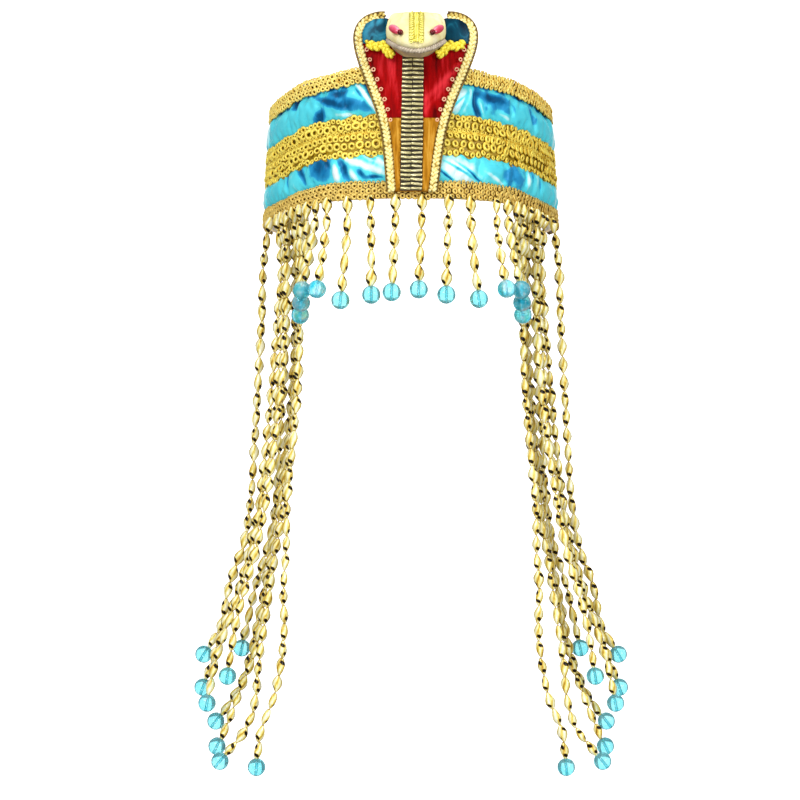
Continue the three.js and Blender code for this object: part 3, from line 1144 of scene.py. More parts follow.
@dataclass(frozen=True)
class ClothRun:
    """One run of the cloth simulation, made ten times as large as life, where the solver works best."""

    scale: float = 0.01
    frames: int = 22
    pressure: float = 2.0
    slack: float = 0.08
    tension: float = 20.0
    bending: float = 0.3
    cap: float = 3.0
    quality: int = 6
    mass: float = 0.2

    def settle(self, points: Array, faces: Faces, held: Array) -> Array:
        """Lets a cloth swell and crease.

        Args:
            points: its points before.
            faces: its faces.
            held: which points are sewn down.

        Returns:
            Its points after, none moved further than the cap.
        """
        mesh = bpy.data.meshes.new("cloth_run")
        mesh.from_pydata((points * self.scale).tolist(), [], faces)
        obj = linked(bpy.data.objects.new("cloth_run", mesh))
        obj.vertex_groups.new(name="sewn").add([int(i) for i in np.flatnonzero(held)], 1.0, "REPLACE")
        modifier = obj.modifiers.new("cloth", "CLOTH")
        settings = modifier.settings
        settings.quality = self.quality
        settings.mass = self.mass
        settings.tension_stiffness = settings.compression_stiffness = self.tension
        settings.bending_stiffness = self.bending
        settings.use_pressure = True
        settings.uniform_pressure_force = self.pressure
        settings.shrink_min = -self.slack
        settings.vertex_group_mass = "sewn"
        settings.effector_weights.gravity = 0.0
        modifier.collision_settings.use_collision = False
        scene = bpy.context.scene
        for step in range(1, self.frames + 1):
            scene.frame_set(step)
        shown = obj.evaluated_get(bpy.context.evaluated_depsgraph_get()).data
        after = np.empty(len(points) * 3, np.float32)
        shown.vertices.foreach_get("co", after)
        scene.frame_set(1)
        discard(obj)
        moved = after.reshape(-1, 3) / self.scale - points
        far = np.linalg.norm(moved, axis=1, keepdims=True)
        return points + moved * np.minimum(1.0, self.cap / np.maximum(far, 1e-9))


@dataclass(frozen=True)
class Fold:
    """A crease of the band's cloth, and also the shape of the painted streaks of light and shade on the
    hood's satin.

    It crosses height z at a distance round the band, drifts by so much for each millimetre up, and has a half
    width across, a half length up the band, and a depth, below 0 for a valley.
    """

    arc: float
    z: float
    drift: float
    width: float
    reach: float
    depth: float

    def height(self, arc: Array, z: Array) -> Array:
        """How far the crease lifts the cloth."""
        across = (arc - self.arc - self.drift * (z - self.z)) / self.width
        return self.depth * np.exp(-(across**2) - ((z - self.z) / self.reach) ** 2)


# Creases that show at the front, on the upper and the lower strip of each half
FRONT_FOLDS = (
    Fold(-77.5, 59.5, 0.0, 3.5, 2.0, -0.8),
    Fold(-55.5, 47.8, 0.3, 3.6, 3.2, -1.4),
    Fold(-48.0, 54.4, -2.0, 3.4, 4.0, -1.0),
    Fold(-34.0, 51.4, -2.4, 11.0, 5.5, -0.55),
    Fold(-42.5, 58.5, -0.5, 5.0, 2.0, -1.2),
    Fold(-33.5, 56.5, 0.0, 3.0, 2.4, 0.25),
    Fold(-29.2, 57.0, -0.8, 1.1, 4.0, -1.0),
    Fold(-24.6, 53.4, -0.81, 1.7, 12.0, 1.3),
    Fold(-22.0, 57.0, -0.7, 2.2, 5.0, -1.6),
    Fold(-18.5, 50.0, -0.8, 1.0, 5.0, -0.7),
    Fold(-37.5, 46.2, -2.0, 5.0, 2.0, 0.5),
    Fold(-83.0, 20.0, -0.3, 1.6, 5.0, -0.5),
    Fold(-76.0, 17.0, -0.4, 2.5, 7.0, 0.15),
    Fold(-69.0, 19.5, -0.65, 2.0, 7.0, -0.8),
    Fold(-53.2, 19.0, -0.3, 7.5, 7.5, -0.7),
    Fold(-50.0, 22.5, -0.8, 1.5, 4.0, -0.5),
    Fold(-42.2, 15.2, -0.2, 2.6, 4.5, 1.1),
    Fold(-37.2, 17.0, -0.6, 3.2, 7.0, -0.9),
    Fold(-31.8, 13.2, -0.4, 2.4, 3.2, 0.9),
    Fold(-27.0, 13.4, -0.5, 2.0, 2.6, -0.7),
    Fold(-27.0, 18.4, -2.4, 5.0, 7.0, 0.75),
    Fold(-19.5, 20.5, -2.0, 4.0, 5.0, 0.45),
    Fold(-23.0, 22.8, -1.6, 1.4, 2.5, -0.8),
    Fold(-19.5, 11.6, 0.0, 4.5, 0.9, -0.8),
    Fold(25.5, 51.5, 0.3, 5.5, 7.5, 0.55),
    Fold(22.5, 49.5, 1.2, 0.9, 5.0, -0.7),
    Fold(28.5, 51.0, 0.4, 0.9, 6.0, -0.6),
    Fold(32.6, 55.0, 0.0, 1.2, 6.0, 0.4),
    Fold(35.8, 56.0, 0.4, 2.4, 5.0, -1.0),
    Fold(36.8, 48.5, -0.5, 2.2, 4.0, -1.1),
    Fold(39.5, 50.0, -0.4, 1.3, 6.0, 0.5),
    Fold(47.5, 56.5, 0.0, 6.5, 2.2, -1.1),
    Fold(54.0, 53.0, 0.3, 12.0, 6.5, -0.33),
    Fold(55.2, 48.6, -1.5, 4.0, 1.6, 0.6),
    Fold(82.0, 55.0, -0.6, 5.5, 4.0, -0.5),
    Fold(25.0, 15.0, -1.0, 13.0, 9.0, 0.6),
    Fold(18.0, 12.5, -1.44, 1.1, 3.6, -1.3),
    Fold(25.6, 15.2, -1.94, 1.3, 3.6, -1.1),
    Fold(33.6, 13.0, -1.54, 1.3, 5.0, -1.3),
    Fold(31.2, 24.0, 0.0, 3.0, 2.2, -1.0),
    Fold(48.5, 12.2, -2.0, 2.5, 3.0, 0.6),
    Fold(61.5, 17.0, 0.2, 10.5, 9.0, -0.33),
    Fold(74.5, 18.5, 0.1, 1.6, 7.0, 0.5),
    Fold(79.0, 18.5, 0.0, 1.4, 6.0, -0.3),
    Fold(78.5, 25.0, 0.0, 3.0, 1.6, -1.2),
    Fold(83.5, 19.5, 0.1, 1.8, 7.0, 0.35),
    Fold(89.0, 19.0, 0.0, 1.6, 6.0, -0.3),
)


# Painted streaks of light and shade on the hood's satin, by distance sideways and height
PAINTED_PANEL_STREAKS = (
    Fold(16.0, 62.0, 0.9, 2.4, 12.0, 0.32),
    Fold(11.0, 52.0, 0.8, 1.6, 9.0, 0.16),
    Fold(-17.0, 68.0, 0.1, 2.0, 12.0, 0.14),
    Fold(-12.0, 62.0, 0.05, 1.5, 14.0, 0.1),
    Fold(9.0, 70.0, 0.2, 3.0, 8.0, -0.22),
    Fold(-9.0, 44.0, 0.0, 3.0, 8.0, -0.16),
    Fold(11.0, 43.0, 0.3, 3.0, 5.0, -0.2),
)


@dataclass(frozen=True)
class BandCloth:
    """Foil cloth gathered over a stiff band, sewn down under the braids and swollen between them.

    Tone and what follows it are painted light and shade: lighter on a ridge, darker in a valley, and a
    painted shadow under the upper braid, where its gathers are tucked in.
    """

    band: BandSurface
    wardrobe: Wardrobe
    half_arc: float = 170.0
    wall: float = 3.0
    columns: int = 241
    puff: float = 1.5
    most_out: float = 3.0
    sewn: tuple[tuple[float, float], ...] = ((0.0, 9.0), (24.6, 44.0), (62.0, 70.0))
    sewn_rows: tuple[float, ...] = (0.0, 4.5, 29.6, 34.3, 39.0, 66.0, 70.0)
    row_step: float = 1.15
    first_back_fold: float = 128.0
    last_back_fold: float = 166.0
    fold_step: float = 9.0
    fold_rows: tuple[float, ...] = (16.8, 53.0)
    fold_reach: float = 9.0
    fold_depth: float = 0.6
    drifts: tuple[float, float] = (-0.5, 0.5)
    widths: tuple[float, float] = (2.2, 4.0)
    shares: tuple[float, float] = (0.6, 1.2)
    seed: int = 7
    tone: float = 0.52
    tone_range: float = 0.45
    tone_gain: float = 1.4
    edge_gain: float = 3.0
    tuck_dark: float = 0.4
    tuck_reach: float = 1.4
    stitch_waves: tuple[float, float] = (2.1, 7.0)
    lining_mark: float = -100.0
    cut: tuple[float, float] = (0.08, 0.35)

    @property
    def strips(self) -> list[tuple[float, float]]:
        """The heights between which the cloth is free."""
        return [(low, high) for (_, low), (high, _) in zip(self.sewn[:-1], self.sewn[1:])]

    def heights(self) -> Array:
        """Heights of the cloth's rows, closer together where it is free.

        Returns:
            The heights, from the lowest.
        """
        rows = list(self.sewn_rows)
        for low, high in self.strips:
            rows += list(np.linspace(low, high, round((high - low) / self.row_step) + 1))
        return np.array(sorted(rows))

    def folds(self) -> list[Fold]:
        """The front's creases, and plainer ones round the sides, a ridge and a valley in turn.

        Returns:
            The creases.
        """
        found = list(FRONT_FOLDS)
        draw = np.random.default_rng(self.seed)
        for side in Side:
            for z in self.fold_rows:
                arc, depth = self.first_back_fold, self.fold_depth
                while arc < self.last_back_fold:
                    drift = draw.uniform(*self.drifts)
                    width = draw.uniform(*self.widths)
                    height = depth * draw.uniform(*self.shares)
                    found.append(Fold(side.value * arc, z, drift, width, self.fold_reach, height))
                    arc += self.fold_step * draw.uniform(*self.shares)
                    depth = -depth
        return found

    def lift(self, arc: Array, z: Array) -> Array:
        """How far all the folds lift the cloth."""
        return np.sum([fold.height(arc, z) for fold in self.folds()], axis=0)

    def swell(self, z: Array) -> Array:
        """The share of the puff at heights: none under the braids, all of it half way between two.

        Args:
            z: heights on the band.

        Returns:
            The shares.
        """
        share = np.zeros_like(z)
        for low, high in self.strips:
            place = np.clip((z - low) / (high - low), 0, 1)
            share += np.sqrt(np.sin(math.pi * place).clip(0))
        return share

    def shadow(self, arc: Array, z: Array) -> Array:
        """The painted shadow under the upper braid, deeper between its stitches.

        Args:
            arc: distances round the band.
            z: heights on it.

        Returns:
            How far the tone drops.
        """
        under = np.exp(-(((z - self.sewn[-1][0]) / self.tuck_reach) ** 2))
        short, long = self.stitch_waves
        return self.tuck_dark * under * (0.5 + 0.5 * np.sin(arc / short + np.sin(arc / long)))

    def paint(self, mesh: bpy.types.Mesh) -> None:
        """Paints light and shade on the smoothed cloth, from each point's place round the band and its
        height.

        Args:
            mesh: the cloth, whose attribute fold still holds heights, far below 0 on the lining.
        """
        arc, z = np.zeros(len(mesh.vertices)), np.zeros(len(mesh.vertices))
        mesh.attributes["along"].data.foreach_get("value", arc)
        mesh.attributes["fold"].data.foreach_get("value", z)
        shown = np.minimum(1, self.edge_gain * self.swell(z))
        # Painted light on ridges and painted shade in valleys, fading out where the cloth is sewn flat
        tone = self.tone + self.tone_range * np.tanh(self.tone_gain * self.lift(arc, z) * shown)
        mesh.attributes["fold"].data.foreach_set("value", tone - self.shadow(arc, z))

    def build(self) -> Object:
        """Makes the cloth.

        Returns:
            The piece.
        """
        arcs = np.linspace(-self.half_arc, self.half_arc, self.columns)
        heights = self.heights()
        arc, z = (part.ravel() for part in np.meshgrid(arcs, heights))
        swell = self.swell(z)
        points = self.band.at(arc, z, swell * (self.puff + self.lift(arc, z)))
        held = (swell < 0.001) | (np.abs(arc) > self.half_arc - 0.1)
        points = ClothRun().settle(points, grid_faces(len(heights), self.columns), held)
        normal = self.band.outward(arc)
        out = np.sum((points - self.band.at(arc, z, 0.0)) * normal, axis=1)
        points = points + normal * (np.clip(out, 0.0, self.most_out) - out)[:, None]
        count = len(arc)
        both = np.vstack([points, self.band.at(arc, z, -self.wall)])
        height = np.concatenate([z, np.full(count, self.lining_mark)])
        shape = Shape(both, slab_faces(len(heights), self.columns), np.concatenate([arc, arc]), height)
        finishes = (self.wardrobe.foil, self.wardrobe.lining, self.wardrobe.edge_braid)
        obj = shape.to_object("band_cloth_foil", *finishes)
        corners = [tuple(face.vertices) for face in obj.data.polygons]
        slots = [1 if min(face) >= count else 2 * (max(face) >= count) for face in corners]
        obj.data.polygons.foreach_set("material_index", slots)
        smoothed(obj)
        self.paint(obj.data)
        seat(obj, "foil_cloth", "band_cloth")
        return obj


# Braids round the band


def ring_unit(radius: float, thread: float, lean: float = 0.0, around: int = 12, sides: int = 5) -> Shape:
    """One loop of a gimp braid, with painted light on its crown and painted shade on its underside.

    Args:
        radius: from its middle to the middle of its thread.
        thread: the thread's radius.
        lean: radians that it tips along the braid, so that it laps over the next.
        around: steps round the loop.
        sides: corners of the thread's section.

    Returns:
        The loop, flat apart from its lean.
    """
    big = circle(around)
    small = circle(sides) + math.pi / 2
    reach = radius + thread * np.cos(small)[None, :]
    height = np.broadcast_to(thread * np.sin(small), (around, sides))
    flat = np.stack([np.cos(big)[:, None] * reach, np.sin(big)[:, None] * reach, height], axis=-1)
    turn = np.array([[math.cos(lean), 0, math.sin(lean)], [0, 1, 0], [-math.sin(lean), 0, math.cos(lean)]])
    faces: Faces = []
    for i in range(around):
        here, ahead = i * sides, (i + 1) % around * sides
        for j in range(sides):
            k = (j + 1) % sides
            faces.append((here + j, ahead + j, ahead + k, here + k))
    # Painted light on the thread's crown and painted shade on its underside, against the ground
    fold = PLAIN_SHADING + 0.4 * np.tile(np.sin(small), around)
    return Shape(flat.reshape(-1, 3) @ turn.T, faces, np.repeat(big * radius, sides), fold)


@dataclass(frozen=True)
class LoopRow:
    """A row of thread loops on a braid.

    Its height on the band, the pitch, radius and thread of its loops, and how far it rises with each scallop.
    """

    z: float
    pitch: float
    loop: float
    thread: float
    rise: float = 0.0


@dataclass(frozen=True)
class GimpBraid:
    """Gold gimp braid on a dark woven ground: rows of thread loops, and some have a seam and a shell edge. On
    the fine braids the ground is darker still, as painted shade in the holes between the loops.

    The seam is a plait at one height. The shell edge is a cord over a row of scallops: its height between two
    scallops, and its rise at the top of one, negative on a lower edge. Nest is the share of a thread's radius
    by which its loops stand off the ground.
    """

    name: str
    low: float
    high: float
    rows: tuple[LoopRow, ...]
    finish: Material
    ground: Material
    seam: float | None = None
    shell: tuple[float, float] | None = None
    scallop: float = 13.4
    scallop_power: float = 0.7
    wander: float = 0.35
    half_arc: float = 170.0
    columns: int = 601
    hem: float = 0.7
    ground_low: float = 0.3
    ground_high: float = 0.8
    nest: float = 0.75
    lean: float = 0.28
    tilt: float = 0.8
    size_spread: float = 0.22
    seed: int = 3
    edge: float = 0.55
    edge_tone: float = 0.4
    plait: Cord = Cord(CordStyle.PLAIT, 3, 0.5, 0.6, 0.3, 3.4, 5, 0.7)
    plait_lift: float = 0.3

    def drift(self, arcs: Array) -> Array:
        """How far the braid strays up or down along the band, as hand sewing leaves it."""
        waves = np.sin(arcs / 13.0 + self.seed) + 0.6 * np.sin(arcs / 5.3 + 2 * self.seed)
        return self.wander * (waves + 0.5 * np.sin(arcs / 1.9 + np.sin(arcs / 4.1)))

    def strip(self, band: BandSurface, arcs: Array, bump: Array) -> Shape:
        """The woven ground, out to the shell edge where there is one.

        Args:
            band: the surface that it is sewn to.
            arcs: distances round the band.
            bump: the scallops' share of their rise at each.

        Returns:
            The ground.
        """
        drift = self.drift(arcs) * 0.5
        bottom, top = self.low + self.hem + drift, self.high - self.hem + drift
        if self.shell:
            edge = self.shell[0] + self.shell[1] * bump + 2 * drift
            bottom, top = (edge, top) if self.shell[1] < 0 else (bottom, edge)
        low, high = self.ground_low, self.ground_high
        corners = ((bottom, low), (bottom, high), (top, high), (top, low))
        return loft(np.stack([band.at(arcs, z, out) for z, out in corners], axis=1))

    def build(self, band: BandSurface, tree: RepeatTree) -> Object:
        """Makes the braid.

        Args:
            band: the surface that it is sewn to.
            tree: the tree that sets the loops.

        Returns:
            The piece.
        """
        arcs = np.linspace(-self.half_arc, self.half_arc, self.columns)
        drift = self.drift(arcs)
        bump = np.abs(np.sin(math.pi * arcs / self.scallop)) ** self.scallop_power
        parts = [self.strip(band, arcs, bump).to_object(self.name + "_ground", self.ground, smooth=False)]
        outward = band.outward(arcs)
        for number, row in enumerate(self.rows):
            shift = row.pitch * 0.5 * (number % 2)
            height = self.ground_high + self.nest * row.thread
            line = band.at(arcs + shift, row.z + row.rise * bump + drift, height)
            repeat = Repeat(
                round(2 * self.half_arc / row.pitch),
                turn_spread=0.5 * self.tilt,
                tilt_spread=self.tilt,
                size_spread=self.size_spread,
                seed=self.seed + 20 * number,
            )
            loop = ring_unit(row.loop, row.thread, self.lean)
            parts.append(tree.along(f"{self.name}_loops_{number}", line, outward, loop, repeat, self.finish))
        cords = []
        if self.seam is not None:
            path = band.at(arcs, self.seam + drift, self.ground_high + self.plait_lift)
            cords.append(self.plait.along(path, everywhere(UP, path), outward))
        if self.shell is not None:
            path = band.at(arcs, self.shell[0] + self.shell[1] * bump + drift, self.ground_high)
            cord = tube(path, self.edge, 6, outward)
            cord.fold = np.full(len(cord.points), self.edge_tone)
            cords.append(cord)
        if cords:
            parts.append(Shape.merged(cords).to_object(self.name + "_cords", self.finish))
        return seat(joined(self.name + "_gimp", parts), "gold_braid", self.name)


def braids(wardrobe: Wardrobe) -> list[GimpBraid]:
    """The four braids of the band, from its lower edge to its upper edge.

    Args:
        wardrobe: the finishes.

    Returns:
        The braids.
    """
    wide = {"finish": wardrobe.braid, "ground": wardrobe.ground}
    fine = {"ground": wardrobe.dark_ground, "tilt": 0.75, "lean": 0.3}
    hem, edge = fine | {"finish": wardrobe.hem_braid}, fine | {"finish": wardrobe.edge_braid}
    bottom = tuple(LoopRow(z, 3.2, 1.12, 0.7) for z in (1.4, 4.2, 7.0)) + (LoopRow(8.7, 2.5, 0.75, 0.42),)
    lower = (
        LoopRow(33.4, 3.7, 1.3, 0.72),
        LoopRow(29.0, 4.6, 1.7, 0.84),
        LoopRow(25.8, 3.3, 1.15, 0.68, -2.0),
    )
    upper = (
        LoopRow(39.4, 4.6, 1.7, 0.84),
        LoopRow(42.3, 3.3, 1.15, 0.68, 1.2),
        LoopRow(36.6, 2.7, 0.85, 0.45),
    )
    top = tuple(LoopRow(z, 3.3, 1.15, 0.7) for z in (63.5, 66.1, 68.7)) + (LoopRow(70.2, 2.4, 0.75, 0.42),)
    lower_edge, upper_edge = {"hem": -0.4, "shell": (24.6, -2.7)}, {"hem": -0.1, "shell": (42.4, 2.3)}
    return [
        GimpBraid("braid_bottom", 0.0, 9.0, bottom, **hem, seed=11, wander=0.25),
        GimpBraid("braid_middle_lower", 24.6, 34.1, lower, **wide, seed=12, **lower_edge),
        GimpBraid("braid_middle_upper", 34.5, 44.0, upper, **wide, seed=13, seam=35.4, **upper_edge),
        GimpBraid("braid_top", 62.0, 70.0, top, **edge, seed=14, wander=0.4),
    ]


@dataclass(frozen=True)
class BackStrap:
    """Elastic tape that closes the loop behind the head, lapped inside both ends of the band."""

    band: BandSurface
    wardrobe: Wardrobe
    low: float = 33.0
    wide: float = 25.0
    thick: float = 1.5
    skin: float = 0.15
    outer: float = -3.3
    start: float = 158.0
    columns: int = 121
    rows: int = 9
    ribs: int = 20
    rib: float = 0.096

    def build(self) -> Object:
        """Makes the tape.

        Returns:
            The piece.
        """
        arcs = np.linspace(self.start, self.band.length - self.start, self.columns)
        ripple = self.rib * np.sin(np.linspace(0, 2 * math.pi * self.ribs, self.columns))
        across = np.linspace(self.low, self.low + self.wide, self.rows)
        front = [self.band.at(arcs, z, self.outer - self.skin + ripple) for z in across]
        back = [self.band.at(arcs, z, self.outer - self.thick + ripple) for z in across[::-1]]
        shape = loft(np.stack(front + back, axis=1))
        obj = shape.to_object("back_strap_elastic", self.wardrobe.elastic, smooth=False)
        seat(obj, "elastic", "back_strap")
        return obj


# The cobra's hood


class Patch(Enum):
    """The two kinds of patch on the hood."""

    LOBE = "lobe"
    THROAT = "throat"


@dataclass(frozen=True)
class Hood:
    """Satin panel with its patches, gimp edging, picots and piping.

    Turned_edge gives a patch's rings, by share of the way to its middle and share of its thickness.
    """

    hood: HoodSurface
    wardrobe: Wardrobe
    tree: RepeatTree
    foot: float = 3.2
    panel_inset: float = 3.5
    rows: int = 64
    columns: int = 33
    cushion: float = 0.7
    crease: float = 0.18
    crease_waves: tuple[float, float, float] = (0.9, 0.05, 0.16)
    crease_lift: float = 0.6
    edge_dark: float = 0.2
    amber_below: float = 38.0
    lobe: tuple[tuple[float, float], ...] = (
        (27.6, 81.2),
        (28.1, 86.7),
        (26.3, 91.5),
        (22.0, 93.9),
        (14.9, 94.1),
        (15.5, 80.2),
        (20.4, 81.0),
    )
    lobe_tone: float = 0.47
    lobe_shade: float = -0.1
    throat: tuple[tuple[float, float], ...] = (
        (5.75, 41.5),
        (5.75, 3.4),
        (8.4, 3.4),
        (10.1, 22.0),
        (11.8, 34.0),
        (13.7, 41.5),
    )
    belly_edge: float = 6.0
    patch_points: int = 64
    turned_edge: tuple[tuple[float, float], ...] = (
        (0.0, 0.0),
        (0.0, 0.55),
        (0.08, 0.85),
        (0.3, 1.0),
        (0.6, 1.05),
        (0.85, 1.1),
    )
    least_cut: float = 10.0
    edge_points: int = 140
    edging_radius: float = 2.2
    edging_cord: Cord = Cord(CordStyle.PLAIT, 3, 0.9, 1.5, 0.75, 6.8, contrast=0.42)
    tip: tuple[float, float] = (92.0, 97.0)
    tip_dark: float = 0.35
    backing_radius: float = 0.6
    backing_out: float = 0.35
    backing_lift: float = 0.9
    picot: tuple[float, float] = (0.82, 0.36)
    picot_span: tuple[float, float] = (40.0, 78.0)
    picot_pitch: float = 5.2
    picot_inset: float = 5.4
    picot_lift: float = 1.2
    scallop: tuple[tuple[float, float], ...] = (
        (25.4, 80.2),
        (22.0, 79.2),
        (17.6, 79.6),
        (14.4, 76.4),
        (11.4, 73.6),
    )
    scallop_points: int = 60
    scallop_lift: float = 1.8
    scallop_sway: float = 0.7
    scallop_wave: float = 7.5
    piping_cord: Cord = Cord(CordStyle.PLAIT, 3, 1.05, 1.55, 0.55, 6.8, contrast=0.42)

    def build(self) -> list[Object]:
        """Makes the hood's pieces.

        Returns:
            The pieces.
        """
        pieces = [self.panel()]
        for side in Side:
            pieces.append(self.edging(side))
            pieces += [self.patch(side, kind) for kind in Patch]
            pieces.append(self.piping(side))
        return pieces

    def edge(self, inset: float, count: int) -> Array:
        """The right half of the hood's outline, moved in, from the lower braid's edge up."""
        line = self.hood.edge(inset, count)
        return line[line[:, 1] >= self.foot]

    def panel(self) -> Object:
        """The padded satin panel between the two edgings.

        Returns:
            The piece.
        """
        edge = evenly(self.edge(self.panel_inset, 4 * self.rows), self.rows)
        share = np.linspace(-1, 1, self.columns)[None, :]
        x = edge[:, :1] * share
        z = np.broadcast_to(edge[:, 1:], x.shape)
        crown = (1 - share**2) * np.ones_like(x)
        wide, slant, tall = self.crease_waves
        creases = self.crease * np.sin(x * wide + slant * z) * np.sin(tall * z) * crown
        swell = self.cushion * np.sqrt(crown) - self.cushion + creases * self.crease_lift
        front = self.hood.at(x, z, self.hood.front + swell)
        back = self.hood.at(x, z, self.hood.back)
        # Painted shade towards the panel's sides, where the cushion rounds off, painted light on the ridges
        # of its creases, and the painted streaks
        tone = PLAIN_SHADING - self.edge_dark * share**6 + creases
        for fold in PAINTED_PANEL_STREAKS:
            tone = tone + fold.height(x, z)
        points = np.vstack([front.reshape(-1, 3), back.reshape(-1, 3)])
        faces = slab_faces(self.rows, self.columns)
        shape = Shape(points, faces, np.zeros(len(points)), np.concatenate([tone.ravel()] * 2))
        obj = shape.to_object("hood_panel_satin", self.wardrobe.red, self.wardrobe.amber)
        slots = [int(face.center.z < self.amber_below * MM) for face in obj.data.polygons]
        obj.data.polygons.foreach_set("material_index", slots)
        seat(obj, "red_satin", "hood_panel")
        return obj

    def patch(self, side: Side, kind: Patch) -> Object:
        """A thin patch laid on the panel, with its edge turned under.

        Args:
            side: the half of the hood.
            kind: which of its patches.

        Returns:
            The piece.
        """
        is_lobe = kind is Patch.LOBE
        corners = np.array(self.lobe if is_lobe else self.throat)
        beside_belly = corners[:, 0] < self.belly_edge
        corners[beside_belly, 0] += side.value * self.hood.belly_middle(corners[beside_belly, 1])
        middle = corners.mean(axis=0)
        outline = evenly(np.vstack([corners, corners[:1]]), self.patch_points + 1)[:-1]
        rings = []
        for inset, out in self.turned_edge:
            flat = outline + (middle - outline) * inset
            rings.append(self.hood.at(side.value * flat[:, 0], flat[:, 1], self.hood.laid + out))
        shape = loft(np.stack(rings))
        if is_lobe:
            # Painted light and shade: the left lobe lighter, the right one darker
            shape.fold = np.full(len(shape.points), self.lobe_tone + side.value * self.lobe_shade)
        node = f"hood_{kind.value}_{side.label}"
        obj = shape.to_object(node + "_cloth", self.wardrobe.blue if is_lobe else self.wardrobe.amber)
        seat(obj, "blue_foil" if is_lobe else "amber_satin", node)
        return obj

    def edging(self, side: Side) -> Object:
        """The gimp cord round one half of the hood, with picot loops along its inner side and a dark bronze
        cord just outside its outline, as painted shadow along the hood's edge.

        Args:
            side: the half of the hood.

        Returns:
            The piece.
        """
        line = self.edge(self.edging_radius, self.edge_points)
        x = side.value * line[:, 0]
        middle = self.hood.at(x, line[:, 1], self.hood.back + self.edging_radius)
        up = self.hood.outward(x)
        shape = self.edging_cord.along(middle, beside(middle, up), up)
        shape.fold = shape.shade - self.tip_dark * smoothstep(shape.points[:, 2], *self.tip)
        cord = shape.to_object(f"edging_cord_{side.label}", self.wardrobe.edging)
        # Painted shadow: a dark bronze cord just outside the outline, where the hood's edge throws its shadow
        line = self.edge(-self.backing_out, self.edge_points)
        x = side.value * line[:, 0]
        path = self.hood.at(x, line[:, 1], self.hood.back + self.backing_lift)
        rod = tube(path, self.backing_radius, 6, self.hood.outward(x))
        backing = rod.to_object(f"edging_backing_{side.label}", self.wardrobe.backing)
        line = self.hood.edge(self.picot_inset, self.edge_points)
        low, high = self.picot_span
        line = line[(line[:, 1] > low) & (line[:, 1] < high)]
        x = side.value * line[:, 0]
        path = self.hood.at(x, line[:, 1], self.hood.front + self.picot_lift)
        count = round(distances(path)[-1] / self.picot_pitch)
        repeat = Repeat(count, turn_spread=0.4, tilt_spread=0.5, size_spread=0.12, seed=21)
        loop = ring_unit(*self.picot, around=10)
        outward = self.hood.outward(x)
        picots = self.tree.along(f"picots_{side.label}", path, outward, loop, repeat, self.wardrobe.picot)
        obj = joined(f"hood_edging_{side.label}_gimp", [cord, backing, picots])
        return seat(obj, "edging_cord", f"hood_edging_{side.label}")

    def piping(self, side: Side) -> Object:
        """The yellow piping that hangs in a scallop under the lobe.

        Args:
            side: the half of the hood.

        Returns:
            The piece.
        """
        line = evenly(smooth_line(self.scallop), self.scallop_points)
        sway = self.scallop_sway * np.sin(2 * math.pi * distances(line) / self.scallop_wave)
        x = side.value * line[:, 0]
        middle = self.hood.at(x, line[:, 1] + sway, self.hood.laid + self.scallop_lift)
        up = self.hood.outward(x)
        shape = self.piping_cord.along(middle, beside(middle, up), up)
        obj = shape.to_object(f"hood_scallop_{side.label}_piping", self.wardrobe.piping)
        return seat(obj, "yellow_piping", f"hood_scallop_{side.label}")


@dataclass(frozen=True)
class Belly:
    """Strip of glass bugles on a black tape, two bugles to a row.

    A bugle's steps along its unit length and the radii there are shares.
    """

    hood: HoodSurface
    wardrobe: Wardrobe
    tree: RepeatTree
    half_width: float = 5.6
    low: float = 3.4
    high: float = 73.8
    pitch: float = 2.32
    split: float = -0.3
    clearance: float = 0.1
    bugle: float = 0.66
    bugle_steps: tuple[float, ...] = (-0.5, -0.4999, -0.47, 0.47, 0.5, 0.5001)
    bugle_radii: tuple[float, ...] = (0.4, 0.8, 1.0, 1.0, 0.8, 0.4)
    bugle_sides: int = 8
    tape: float = 0.6
    tape_rows: int = 40

    def bugle_unit(self) -> Shape:
        """One bugle of unit length, lying across the strip, with rounded ends.

        Returns:
            The bugle.
        """
        angles = circle(self.bugle_sides)
        ring = np.stack([np.cos(angles), np.zeros_like(angles), np.sin(angles)], axis=-1)
        line = np.array([(0.0, step, 0.0) for step in self.bugle_steps])
        radii = self.bugle * np.array(self.bugle_radii)
        return loft(line[:, None] + ring[None] * radii[:, None, None])

    def build(self) -> Object:
        """Makes the strip.

        Returns:
            The piece.
        """
        z = np.linspace(self.low, self.high, self.tape_rows)
        corners = ((-1, 0.0), (-1, self.tape), (1, self.tape), (1, 0.0))
        middle = self.hood.belly_middle(z)
        sides = [self.hood.at(s * self.half_width + middle, z, self.hood.laid + out) for s, out in corners]
        parts = [loft(np.stack(sides, axis=1)).to_object("belly_tape", self.wardrobe.tape, smooth=False)]
        rows = int((self.high - self.low) / self.pitch)
        z = self.low + self.pitch * (np.arange(rows) + 0.5)
        spans = ((-self.half_width, self.split), (self.split, self.half_width))
        for number, (left, right) in enumerate(spans):
            middle = (left + right) / 2 + self.hood.belly_middle(z)
            path = self.hood.at(middle, z, self.hood.laid + self.tape + self.bugle)
            stretch = (1.0, right - left - self.clearance, 1.0)
            repeat = Repeat(rows, stretch, tilt_spread=0.1, size_spread=0.1, seed=31 + number)
            outward = self.hood.outward(middle)
            name = f"belly_bugles_{number}"
            parts.append(self.tree.along(name, path, outward, self.bugle_unit(), repeat, self.wardrobe.bugle))
        return seat(joined("belly_strip_bugles", parts), "bugle_beads", "belly_strip")


# The snake's head


